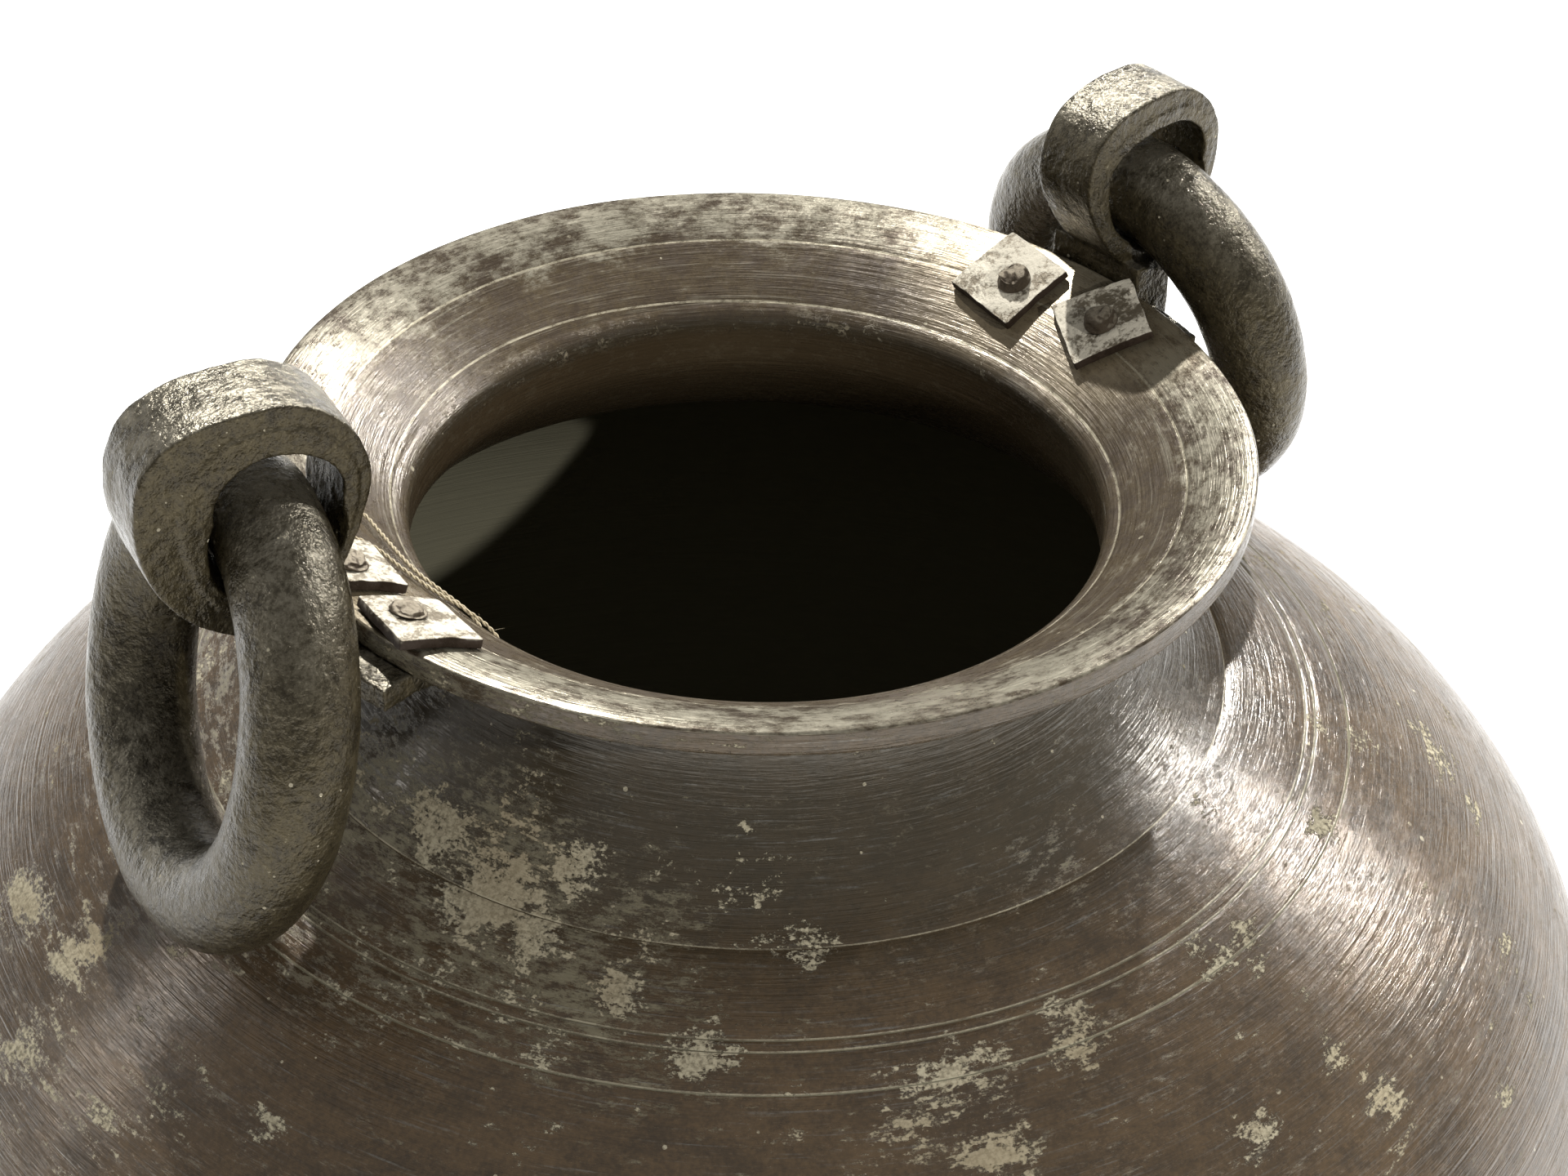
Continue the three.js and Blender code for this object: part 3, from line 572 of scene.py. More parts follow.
@dataclass(frozen=True)
class ForgedBrass:
    """Brass bar, forged hot and bent by hand, under an old olive brown oxide.

    The hammer leaves shallow flats that break up the shine, upward-facing crowns are lighter and more
    metallic, partly from handling and partly as a painted highlight, and small specks of lime sit in the pores.
    """

    oxide: str = "#2a2418"
    oxide_light: str = "#534a34"
    # Colour of the upward-facing crowns: partly polish from handling, partly a painted highlight
    crown_polish_and_highlight: str = "#8d8778"
    lime: str = "#9d9580"
    grain: float = 1.2
    crumple: float = 3.2
    cloud: float = 6.5
    hammer: float = 9.0

    def build(self) -> bpy.types.Material:
        """Make the material.

        Returns:
            The finish of the ears and rings.
        """
        material, tree = fresh_material("forged_brass_patina")
        place = wire(tree, "TexCoord").outputs["Object"]

        def cells(size: float, detail: float, rough: float) -> bpy.types.Node:
            """Noise with cells of a size in millimetres."""
            inputs = {"Vector": place, "Scale": 1 / (size * MM), "Detail": detail, "Roughness": rough}
            return wire(tree, "TexNoise", inputs)

        def ramp(value, low: float, high: float, to_low: float = 0.0, to_high: float = 1.0) -> bpy.types.Node:
            """Turn a run of values into another run, eased at both ends."""
            runs = {"Value": value, "From Min": low, "From Max": high, "To Min": to_low, "To Max": to_high}
            return wire(tree, "MapRange", runs, interpolation_type="SMOOTHSTEP")

        flats = cells(self.hammer, 2.0, 0.5)
        cloud = cells(self.cloud, 8.0, 0.78)
        grain = cells(self.grain, 2.0, 0.7)
        crumple = cells(self.crumple, 3.0, 0.6)
        facing = wire(tree, "SeparateXYZ", {0: wire(tree, "NewGeometry").outputs["Normal"]})
        # Faces turned up get the lighter crown colour: partly polish from handling, partly a painted highlight where
        # the lamps above reflect
        crown = ramp(facing.outputs[2], 0.3, 0.9)
        worn_sum = wire(tree, "Math", {0: grain, 1: 0.4, 2: cloud}, operation="MULTIPLY_ADD")
        worn_all = ramp(worn_sum, 0.55, 0.9, 0.1, 0.9)
        polish_and_highlight = wire(tree, "Math", {0: worn_all, 1: crown}, operation="MULTIPLY")
        pores = wire(tree, "TexVoronoi", {"Vector": place, "Scale": 1 / 0.0035})
        pore_pick = wire(tree, "SeparateColor", {0: pores.outputs["Color"]})
        pore_size = wire(tree, "MapRange", {"Value": pore_pick.outputs[1], "From Min": 0.6, "To Max": 0.16})
        pore = wire(tree, "Math", {0: pores.outputs["Distance"], 1: pore_size}, operation="LESS_THAN")
        limed = ramp(worn_sum, 0.86, 0.93, 0.0, 0.8)
        lime = wire(tree, "Math", {0: pore, 1: limed}, operation="MAXIMUM")
        oxide = wire(
            tree,
            "Mix",
            {0: ramp(worn_sum, 0.45, 0.95), 6: linear(self.oxide), 7: linear(self.oxide_light)},
            data_type="RGBA",
        ).outputs[2]
        # The oxide mixed toward the crown colour, which is partly a painted highlight
        rubbed = wire(tree, "Mix", {0: polish_and_highlight, 6: oxide, 7: linear(self.crown_polish_and_highlight)}, data_type="RGBA").outputs[2]
        colour = wire(tree, "Mix", {0: lime, 6: rubbed, 7: linear(self.lime)}, data_type="RGBA").outputs[2]
        shine = ramp(cloud, 0.35, 0.65, 0.2, 0.4)
        roughness = wire(tree, "Mix", {0: lime, 2: shine, 3: 0.8}, data_type="FLOAT").outputs[0]
        metal_share = wire(tree, "Math", {0: polish_and_highlight, 1: 0.4, 2: 0.5}, operation="MULTIPLY_ADD")
        metallic = wire(tree, "Mix", {0: lime, 2: metal_share, 3: 0.1}, data_type="FLOAT").outputs[0]
        flat_deep = wire(tree, "Math", {0: flats, 1: 0.55}, operation="MULTIPLY")
        clouded = wire(tree, "Math", {0: cloud, 1: 0.2, 2: flat_deep}, operation="MULTIPLY_ADD")
        with_grain = wire(tree, "Math", {0: grain, 1: 0.3, 2: clouded}, operation="MULTIPLY_ADD")
        crumpled = wire(tree, "Math", {0: crumple, 1: 0.9, 2: with_grain}, operation="MULTIPLY_ADD")
        pits = wire(tree, "Math", {0: pore, 1: -0.12, 2: crumpled}, operation="MULTIPLY_ADD")
        bump = wire(tree, "Bump", {"Height": pits, "Distance": MM, "Strength": 1.0})
        shader = wire(
            tree,
            "BsdfPrincipled",
            {"Base Color": colour, "Roughness": roughness, "Metallic": metallic, "Normal": bump},
        )
        wire(tree, "OutputMaterial", {"Surface": shader})
        return material


@dataclass(frozen=True)
class DustySheetBrass:
    """Brass sheet, cut with shears into squares and filmed with pale dust.

    The dust makes the faces matt and creamy with dark freckles; the sheared edges stay brown.
    """

    dust: str = "#cdc5b2"
    dust_shade: str = "#6f6553"
    edge: str = "#3a2f26"
    grain: float = 1.4

    def build(self) -> bpy.types.Material:
        """Make the material.

        Returns:
            The washers' finish.
        """
        material, tree = fresh_material("dusty_sheet_brass")
        place = wire(tree, "TexCoord").outputs["Object"]
        grain = wire(
            tree,
            "TexNoise",
            {"Vector": place, "Scale": 1 / (self.grain * MM), "Detail": 4.0, "Roughness": 0.7},
        )
        cloud = wire(tree, "TexNoise", {"Vector": place, "Scale": 1 / 0.007, "Detail": 4.0})
        upward = wire(tree, "SeparateXYZ", {0: wire(tree, "NewGeometry").outputs["Normal"]})
        top = wire(
            tree, "MapRange", {"Value": upward.outputs[2], "From Min": 0.35, "From Max": 0.75},
            interpolation_type="SMOOTHSTEP",
        )
        dusting = wire(tree, "Math", {0: grain, 1: 0.8, 2: cloud}, operation="MULTIPLY_ADD")
        dusted = wire(
            tree, "MapRange", {"Value": dusting, "From Min": 0.76, "From Max": 0.98}, interpolation_type="SMOOTHSTEP"
        )
        face = wire(
            tree, "Mix", {0: dusted, 6: linear(self.dust_shade), 7: linear(self.dust)}, data_type="RGBA"
        ).outputs[2]
        colour = wire(tree, "Mix", {0: top, 6: linear(self.edge), 7: face}, data_type="RGBA").outputs[2]
        roughness = wire(tree, "MapRange", {"Value": dusted, "To Min": 0.45, "To Max": 0.75})
        metallic = wire(tree, "MapRange", {"Value": dusted, "To Min": 0.5, "To Max": 0.15})
        bump = wire(tree, "Bump", {"Height": dusting, "Distance": 0.6 * MM, "Strength": 1.0})
        shader = wire(
            tree,
            "BsdfPrincipled",
            {"Base Color": colour, "Roughness": roughness, "Metallic": metallic, "Normal": bump},
        )
        wire(tree, "OutputMaterial", {"Surface": shader})
        return material


@dataclass(frozen=True)
class PeenedBrass:
    """Brass rod, hammered over cold into a rivet head and rusty brown since.

    Peening leaves a lumpy crown, a little rubbed, over a dark reddish side.
    """

    side: str = "#5b5042"
    crown: str = "#9a907d"
    grain: float = 0.9

    def build(self) -> bpy.types.Material:
        """Make the material.

        Returns:
            The rivets' finish.
        """
        material, tree = fresh_material("peened_rivet_brass")
        place = wire(tree, "TexCoord").outputs["Object"]
        grain = wire(
            tree,
            "TexNoise",
            {"Vector": place, "Scale": 1 / (self.grain * MM), "Detail": 4.0, "Roughness": 0.7},
        )
        upward = wire(tree, "SeparateXYZ", {0: wire(tree, "NewGeometry").outputs["Normal"]})
        top = wire(tree, "Math", {0: grain, 1: 0.5, 2: upward.outputs[2]}, operation="MULTIPLY_ADD")
        crown = wire(
            tree, "MapRange", {"Value": top, "From Min": 0.95, "From Max": 1.2, "To Max": 0.8}, interpolation_type="SMOOTHSTEP"
        )
        colour = wire(
            tree, "Mix", {0: crown, 6: linear(self.side), 7: linear(self.crown)}, data_type="RGBA"
        ).outputs[2]
        roughness = wire(tree, "MapRange", {"Value": grain, "To Min": 0.35, "To Max": 0.7})
        bump = wire(tree, "Bump", {"Height": grain, "Distance": 0.6 * MM, "Strength": 1.0})
        shader = wire(
            tree,
            "BsdfPrincipled",
            {"Base Color": colour, "Roughness": roughness, "Metallic": 0.6, "Normal": bump},
        )
        wire(tree, "OutputMaterial", {"Surface": shader})
        return material


@dataclass(frozen=True)
class PlantTwine:
    """Two-ply plant fibre twine, spun dry: straw coloured, dull and hairy."""

    straw: str = "#cbbd9c"
    shade: str = "#8d7c5e"
    fibre: float = 0.25

    def build(self) -> bpy.types.Material:
        """Make the material.

        Returns:
            The twine's finish.
        """
        material, tree = fresh_material("plant_fibre_twine")
        place = wire(tree, "TexCoord").outputs["Object"]
        fibres = wire(
            tree,
            "TexNoise",
            {"Vector": place, "Scale": 1 / (self.fibre * MM), "Detail": 3.0, "Roughness": 0.6},
        )
        tone = wire(tree, "MapRange", {"Value": fibres, "From Min": 0.3, "From Max": 0.65})
        colour = wire(tree, "Mix", {0: tone, 6: linear(self.shade), 7: linear(self.straw)}, data_type="RGBA").outputs[2]
        bump = wire(tree, "Bump", {"Height": fibres, "Distance": 0.1 * MM, "Strength": 0.8})
        roughness = wire(tree, "MapRange", {"Value": fibres, "To Min": 0.75, "To Max": 0.95})
        shader = wire(
            tree,
            "BsdfPrincipled",
            {"Base Color": colour, "Roughness": roughness, "Sheen Weight": 0.3, "Normal": bump},
        )
        wire(tree, "OutputMaterial", {"Surface": shader})
        return material


@dataclass(frozen=True)
class StudioPaper:
    """Seamless white paper: matt, and lifted to white where the camera or a reflection meets it."""

    paper: str = "#e6e6e4"
    lift: float = 0.62

    def build(self) -> bpy.types.Material:
        """Make the material.

        Returns:
            The floor's finish.
        """
        material, tree = fresh_material("studio_paper")
        path = wire(tree, "LightPath")
        camera_or_gloss = wire(
            tree, "Math", {0: path.outputs["Is Camera Ray"], 1: path.outputs["Is Glossy Ray"]}, operation="MAXIMUM"
        )
        seen = wire(
            tree, "Math", {0: camera_or_gloss, 1: path.outputs["Is Transmission Ray"]}, operation="MAXIMUM"
        )
        strength = wire(tree, "Math", {0: seen, 1: self.lift}, operation="MULTIPLY")
        matt = wire(tree, "BsdfDiffuse", {"Color": linear(self.paper)})
        glow = wire(tree, "Emission", {"Color": (1, 1, 1, 1), "Strength": strength})
        both = wire(tree, "AddShader", {0: matt, 1: glow})
        wire(tree, "OutputMaterial", {"Surface": both})
        return material


# The pot


@dataclass(frozen=True)
class PotShape:
    """Sizes of the turned pot, in millimetres, from the base on the floor to the rim."""

    height: float = 380.0
    belly_radius: float = 262.4
    belly_depth: float = 202.7
    belly_offset: float = 3.4
    upper_rise: float = 153.2
    base_curve: float = 6.7
    wall: float = 2.8
    floor: float = 5.0
    neck_wall: float = 5.5
    waist_depth: float = 31.0
    root_spread: float = 33.0
    sweep_out: float = 16.0
    sweep_down: float = 12.0
    rim_radius: float = 140.0
    flare_width: float = 41.5
    rim_thickness: float = 7.4
    edge_round: float = 1.2
    flare_drop: float = 21.4
    flare_power: float = 1.63
    lip_round: float = 2.5
    lip_fall: float = 1.2
    under_start: float = 9.5
    under_handles: tuple[float, float] = (0.7, 0.5)
    groove_width: float = 0.9
    groove_depth: float = 0.25
    flare_grooves: tuple[float, ...] = (19.6, 37.4)
    shoulder_grooves: tuple[float, ...] = (0.6, 24.6, 27.6, 37.9)

    @property
    def bore(self) -> float:
        """Radius of the neck's bore."""
        return self.rim_radius - self.flare_width

    @property
    def root_radius(self) -> float:
        """Radius at which the neck grows out of the belly."""
        return self.bore + self.neck_wall + self.root_spread

    @property
    def belly_level(self) -> float:
        """Height of the widest circle."""
        return self.height - self.belly_depth

    @property
    def lower_drop(self) -> float:
        """Depth of the belly's lower curve."""
        return self.belly_level + self.base_curve

    def flare_top(self, radius: float) -> float:
        """Height of the rim's upper face at a radius."""
        reach = max(0.0, self.rim_radius - radius) / self.flare_width
        return self.height - self.flare_drop * reach**self.flare_power

    def flare_tilt(self, radius: float) -> float:
        """Slope of the rim's upper face at a radius, in radians."""
        reach = max(1e-6, self.rim_radius - radius) / self.flare_width
        return math.atan(self.flare_drop * self.flare_power * reach ** (self.flare_power - 1) / self.flare_width)

    def flare_under(self, radius: float) -> float:
        """Height of the rim's underside at a radius."""
        return self.flare_top(radius) - self.rim_thickness

    def belly_point(self, angle: float, inset: float) -> tuple[float, float]:
        """Radius and height of the belly's curve at an angle above its widest circle."""
        span = self.belly_radius - self.belly_offset - inset
        rise = (self.upper_rise if angle > 0 else self.lower_drop) - inset
        return self.belly_offset + span * math.cos(angle), self.belly_level + rise * math.sin(angle)

    def belly_angle(self, radius: float, inset: float) -> float:
        """Angle at which the belly's upper curve passes a radius."""
        return math.acos((radius - self.belly_offset) / (self.belly_radius - self.belly_offset - inset))

    def belly_arc(self, start: float, stop: float, steps: int, inset: float) -> list[tuple[float, float]]:
        """A run of points along the belly's curve.

        Args:
            start: First angle above the widest circle, in radians.
            stop: Last angle.
            steps: Number of steps between them.
            inset: How far the curve lies inside the outer face.

        Returns:
            Radius and height of each point.
        """
        return [self.belly_point(start + (stop - start) * i / steps, inset) for i in range(steps + 1)]


def bezier(points: list[tuple[float, float]], steps: int) -> list[tuple[float, float]]:
    """Points along a plane Bezier curve of any degree.

    Args:
        points: The curve's control points.
        steps: Number of steps along it.

    Returns:
        The points, both ends included.
    """
    made = []
    for i in range(steps + 1):
        share = i / steps
        row = [Vector(p) for p in points]
        while len(row) > 1:
            row = [a.lerp(b, share) for a, b in zip(row, row[1:])]
        made.append((row[0].x, row[0].y))
    return made


@dataclass
class Pot:
    """The belly, neck and flared rim, cast and turned in one."""

    shape: PotShape = field(default_factory=PotShape)
    segments: int = 320
    belly_steps: int = 44
    lip_shrink: float = 3.8
    lip_bearing: float = 105.0
    rim_wobble: float = 0.35

    def neck_root(self, inset: float, steps: int) -> list[tuple[float, float]]:
        """The sweep from the belly up to the neck's waist.

        Args:
            inset: How far the curve lies inside the outer face.
            steps: Number of steps along it.

        Returns:
            Radius and height of each point, from the belly up.
        """
        s = self.shape
        angle = s.belly_angle(s.root_radius, inset)
        start = Vector(s.belly_point(angle, inset))
        heading = (start - Vector(s.belly_point(angle - 0.01, inset))).normalized()
        waist = (s.bore + s.neck_wall * (1 - min(inset, 1)), s.height - s.waist_depth - inset)
        handle = start + heading * s.sweep_out
        return bezier([tuple(start), tuple(handle), (waist[0], waist[1] - s.sweep_down), waist], steps)

    def grooved(self, points: list[tuple[float, float]], radii: list[float], level) -> list[tuple[float, float]]:
        """Cut small V grooves into a run of points that falls inward.

        Args:
            points: Radius and height of each point, outermost first.
            radii: Where the grooves go.
            level: Gives the face's height at a radius.

        Returns:
            The points with the grooves in place.
        """
        s = self.shape
        half = s.groove_width / 2
        kept = [p for p in points if all(abs(p[0] - r) > s.groove_width for r in radii)]
        for r in radii:
            kept += [(r + half, level(r + half)), (r, level(r) - s.groove_depth), (r - half, level(r - half))]
        return sorted(kept, key=lambda p: -p[0])

    def outline(self) -> list[tuple[float, float]]:
        """The pot's whole section, from the middle of the base round the rim to the inner floor."""
        s = self.shape
        root_angle = s.belly_angle(s.root_radius, 0)
        base_angle = -math.asin(s.belly_level / s.lower_drop)
        floor_angle = -math.asin((s.belly_level - s.floor) / (s.lower_drop - s.wall))
        lower = s.belly_arc(base_angle, 0, self.belly_steps, 0)
        upper = self.grooved(
            s.belly_arc(0, root_angle, self.belly_steps, 0)[1:],
            [s.root_radius + offset for offset in s.shoulder_grooves],
            lambda r: s.belly_point(s.belly_angle(r, 0), 0)[1],
        )
        root = self.neck_root(0, 20)[1:]
        start = s.bore + s.neck_wall + s.under_start
        tilt = math.tan(s.flare_tilt(start))
        rise, reach = (s.under_start * share for share in s.under_handles)
        under = bezier(
            [
                root[-1],
                (root[-1][0], root[-1][1] + rise),
                (start - reach, s.flare_under(start) - reach * tilt),
                (start, s.flare_under(start)),
            ],
            12,
        )[1:]
        outer = s.rim_radius - s.edge_round
        underside = [
            (start + (outer - start) * i / 12, s.flare_under(start + (outer - start) * i / 12)) for i in range(1, 13)
        ]
        low = (s.rim_radius, s.height - s.rim_thickness)
        high = (s.rim_radius, s.height)
        edge = bezier([underside[-1], low, (s.rim_radius, s.height - s.rim_thickness + s.edge_round)], 4)[1:]
        edge += bezier([(s.rim_radius, s.height - s.edge_round), high, (outer, s.flare_top(outer))], 4)
        inner = s.bore + s.lip_round
        radii = [outer + (inner - outer) * i / 40 for i in range(1, 41)]
        flare = self.grooved(
            [(r, s.flare_top(r)) for r in radii], [s.rim_radius - inset for inset in s.flare_grooves], s.flare_top
        )
        fall = math.tan(s.flare_tilt(inner))
        lip = bezier(
            [
                (inner, s.flare_top(inner)),
                (s.bore, s.flare_top(inner) - s.lip_round * fall),
                (s.bore, s.flare_top(inner) - s.lip_round * (fall + s.lip_fall)),
            ],
            8,
        )[1:]
        inner_root = self.neck_root(s.wall, 20)[::-1]
        inner_upper = s.belly_arc(s.belly_angle(s.root_radius, s.wall), 0, 24, s.wall)[1:]
        inner_lower = s.belly_arc(0, floor_angle, 20, s.wall)[1:]
        return (
            [(0.0, 0.0)] + lower + upper + root + under + underside + edge + flare + lip
            + inner_root + inner_upper + inner_lower + [(0.0, s.floor)]
        )

    def warp(self, loops: np.ndarray) -> np.ndarray:
        """Set the neck's edge a little out of round and let the rim's edge waver, as hand work does.

        Args:
            loops: The turned loops.

        Returns:
            The loops, moved.
        """
        s = self.shape
        x, y, z = loops[..., 0], loops[..., 1], loops[..., 2]
        radius = np.hypot(x, y)
        bearing = np.arctan2(y, x)
        turned = np.maximum(0, np.cos(bearing - math.radians(self.lip_bearing))) ** 5
        near_lip = np.exp(-(((radius - s.bore - 2) / 9) ** 2)) * np.clip((z - 325) / 30, 0, 1)
        shift = -self.lip_shrink * turned * near_lip
        rim = np.clip((radius - s.bore - 20) / 20, 0, 1) * np.clip((z - 350) / 15, 0, 1)
        wave = np.sin(3 * bearing + 0.6) + 0.6 * np.sin(7 * bearing + 2.1) + 0.4 * np.sin(13 * bearing)
        shift = shift - self.rim_wobble * rim * (1 + 0.5 * wave)
        scale = (radius + shift) / np.maximum(radius, 0.01)
        return np.stack([x * scale, y * scale, z], axis=-1)

    def build(self, finish: bpy.types.Material) -> bpy.types.Object:
        """Turn the pot and dress it.

        Args:
            finish: The turned brass.

        Returns:
            The pot.
        """
        piece = loft("pot", self.warp(revolved(self.outline(), self.segments)))
        finished(piece, finish, Body.POT, Slot.POT, "pot_body")
        return piece


# Ears and rings


@dataclass(frozen=True)
class RivetSpot:
    """One rivet and its washer: where it goes through the rim and how its washer lies."""

    name: str
    inset: float
    along: float
    width: float
    length: float
    turn: float
    shift: tuple[float, float]
    head: float = 0.9
    knock: float = 1.3


@dataclass(frozen=True)
class EarShape:
    """Sizes of one ear, with its ring and rivets, in millimetres and degrees."""

    side: Side
    bearing: float
    turn: float
    hinge_offset: float
    hinge_height: float
    eye_width: float
    eye_shift: float
    eye_middle: float
    eye_rise: float
    eye_inset: float
    heel_handle: float
    crown_handles: tuple[float, float]
    crown_wall: float
    outer_wall: float
    inner_wall: float
    foot_wall: float
    block_width: float
    block_height: float
    ring_radius: float
    bar_radius: float
    face_step: tuple[float, float]
    rivets: tuple[RivetSpot, RivetSpot]


FAR_EAR = EarShape(
    side=Side.FAR,
    bearing=4.1,
    turn=-2.6,
    hinge_offset=15.0,
    hinge_height=24.3,
    eye_width=22.5,
    eye_shift=-1.2,
    eye_middle=12.0,
    eye_rise=24.5,
    eye_inset=24.5,
    heel_handle=0.22,
    crown_handles=(0.5, 0.7),
    crown_wall=11.0,
    outer_wall=7.2,
    inner_wall=8.5,
    foot_wall=9.0,
    block_width=34.0,
    block_height=7.0,
    ring_radius=48.6,
    bar_radius=14.8,
    face_step=(5.0, 0.5),
    rivets=(
        RivetSpot("a", 18.4, 15.9, 26.0, 26.0, -13.0, (1.0, 2.8)),
        RivetSpot("b", 16.8, -24.7, 25.5, 26.5, -24.0, (1.0, 1.6)),
    ),
)

NEAR_EAR = EarShape(
    side=Side.NEAR,
    bearing=176.0,
    turn=-8.7,
    hinge_offset=15.5,
    hinge_height=29.0,
    eye_width=27.0,
    eye_shift=2.0,
    eye_middle=12.0,
    eye_rise=25.0,
    eye_inset=18.0,
    heel_handle=0.16,
    crown_handles=(0.72, 0.55),
    crown_wall=14.0,
    outer_wall=20.5,
    inner_wall=8.0,
    foot_wall=13.0,
    block_width=32.0,
    block_height=6.0,
    ring_radius=53.8,
    bar_radius=15.1,
    face_step=(9.0, 0.9),
    rivets=(
        RivetSpot("a", 9.5, 26.9, 24.5, 26.0, -16.0, (-2.0, 3.0), head=0.5, knock=1.6),
        RivetSpot("b", 10.5, -3.4, 24.0, 25.0, -4.0, (-2.0, -3.0), head=0.6, knock=1.6),
    ),
)


def forged(piece: bpy.types.Object, depth: float, spacing: float, seed: float) -> None:
    """Give a piece the shallow flats and waver of hand forging.

    Args:
        piece: The piece to work over.
        depth: Height of the waver, in millimetres.
        spacing: Width of one flat, in millimetres.
        seed: Moves the pattern, so that no two pieces match.
    """

    def shift(place: Vector, normal: Vector) -> Vector:
        """Move one vertex in or out along its normal."""
        wide = noise.noise(place / spacing + Vector((seed, 0, 0)))
        fine = noise.noise(place / (spacing * 0.35) + Vector((0, seed, 0)))
        return place + normal * (depth * (wide + 0.45 * fine) - 0.3 * depth)

    reshaped(piece, shift)


@dataclass
class Ear:
    """A bar bent into an eye on a root block, with a foot plate under the rim."""

    shape: EarShape
    pot: PotShape = field(default_factory=PotShape)
    gap: float = 0.3
    block_depth: float = 14.0
    plate_thickness: float = 6.5
    plate_inset: float = 28.0
    plate_reach: float = 9.0
    plate_margin: float = 3.0
    tail_radius: float = 6.2
    edge_round: float = 0.9
    outer_play: float = 0.5
    round_handle: float = 0.55
    voxel: float = 0.6
    eye_points: int = 36

    def hinge(self) -> Matrix:
        """The frame of the hinge: origin on the ring bar's axis, X outward, Y along the bore."""
        s = self.shape
        reach = self.pot.rim_radius + s.hinge_offset
        bearing = math.radians(s.bearing)
        place = Vector((reach * math.cos(bearing), reach * math.sin(bearing), self.pot.height + s.hinge_height))
        return Matrix.Translation(place) @ Matrix.Rotation(math.radians(s.bearing + s.turn), 4, "Z")

    def oval(self, outward: float, up: float, inward: float, down: float, crown, heel: float) -> np.ndarray:
        """The closed oval of the eye's inside or outside.

        Args:
            outward: Reach away from the pot.
            up: Height over the hinge.
            inward: Reach towards the pot.
            down: Depth under the hinge.
            crown: Handles of the outer and inner upper quarters.
            heel: Handle of the inner lower quarter.

        Returns:
            The oval's points in the hinge's X and Z.
        """
        middle = self.shape.eye_middle
        rise = up - middle
        drop = middle + down
        outer, inner = crown
        round_share = 0.5523
        quarters = [
            [(outward, middle), (outward, middle + outer * rise), (outer * outward, up), (0.0, up)],
            [(0.0, up), (-inner * inward, up), (-inward, middle + inner * rise), (-inward, middle)],
            [(-inward, middle), (-inward, middle - heel * drop), (-self.round_handle * inward, -down), (0.0, -down)],
            [(0.0, -down), (round_share * outward, -down), (outward, middle - round_share * drop), (outward, middle)],
        ]
        points = []
        for quarter in quarters:
            points += bezier(quarter, self.eye_points)[:-1]
        return np.array(points)

    def band(self) -> bpy.types.Object:
        """The thick band bent into an eye, with rounded edges and a step on its faces."""
        s = self.shape
        seat = s.bar_radius + self.gap
        outset = seat + self.outer_play
        handles = (self.round_handle, self.round_handle)
        outside = self.oval(
            outset + s.outer_wall, s.eye_rise + s.crown_wall, s.eye_inset + s.inner_wall, seat + s.foot_wall,
            s.crown_handles, s.heel_handle,
        )
        inside = self.oval(outset, s.eye_rise, s.eye_inset, seat, handles, self.round_handle)
        across = inside - outside
        wall = np.linalg.norm(across, axis=1, keepdims=True)
        toward = across / wall
        half = s.eye_width / 2
        step_from, step_depth = s.face_step
        loops = []

        def station(points: np.ndarray, along: float) -> None:
            """Add a loop of the section at a place along the bore."""
            level = np.full(len(points), along + s.eye_shift)
            loops.append(np.stack([points[:, 0], level, points[:, 1]], axis=-1))

        turns = [i * math.pi / 8 for i in range(5)]
        for sign in (-1, 1):
            steps = turns if sign < 0 else turns[::-1]
            for turn in steps:
                inset = self.edge_round * (1 - math.sin(turn))
                station(outside + toward * inset, sign * (half - step_depth - self.edge_round * (1 - math.cos(turn))))
            if sign < 0:
                continue
        shares = np.maximum(wall - step_from, 0.45 * wall) / wall
        station(outside + across * (shares - 0.03), half - step_depth * 0.9)
        station(outside + across * (shares + 0.03), half)
        for sign in (1, -1):
            steps = turns if sign < 0 else turns[::-1]
            for turn in steps[::-1] if sign > 0 else steps[::-1]:
                inset = 0.5 * self.edge_round * (1 - math.sin(turn))
                station(inside - toward * inset, sign * (half - 0.5 * self.edge_round * (1 - math.cos(turn))))
        station(outside + across * (shares + 0.03), -half)
        station(outside + across * (shares - 0.03), -half + step_depth * 0.9)
        return loft("band", moved(np.array(loops), self.hinge()), wrap=True)

    def sector(self, name: str, inner: float, outer: float, start: float, stop: float, low, high) -> bpy.types.Object:
        """A block of a ring in plan, with a floor and a roof that may follow the rim.

        Args:
            name: The object's name.
            inner: Inner radius.
            outer: Outer radius.
            start: First bearing, in degrees.
            stop: Last bearing.
            low: Gives the floor's height at a radius.
            high: Gives the roof's height at a radius.

        Returns:
            The block.
        """
        radii = np.linspace(inner, outer, 12)
        loops = []
        for bearing in np.radians(np.linspace(start, stop, 24)):
            ring = [(r, low(r)) for r in radii] + [(r, high(r)) for r in radii[::-1]]
            loops.append([(r * math.cos(bearing), r * math.sin(bearing), z) for r, z in ring])
        return loft(name, np.array(loops))

    def rim_space(self) -> bpy.types.Object:
        """The room that the rim takes from the band."""
        pot = self.pot
        outer = pot.rim_radius + self.gap
        radii = np.linspace(outer, pot.bore, 12)
        ring = [(pot.bore, pot.flare_under(pot.bore)), (outer, pot.flare_under(pot.rim_radius) - self.gap)]
        ring += [(r, pot.flare_top(r) + 2 * self.gap) for r in radii]
        return loft("rim_space", revolved(ring, 96).transpose(1, 0, 2), wrap=True)

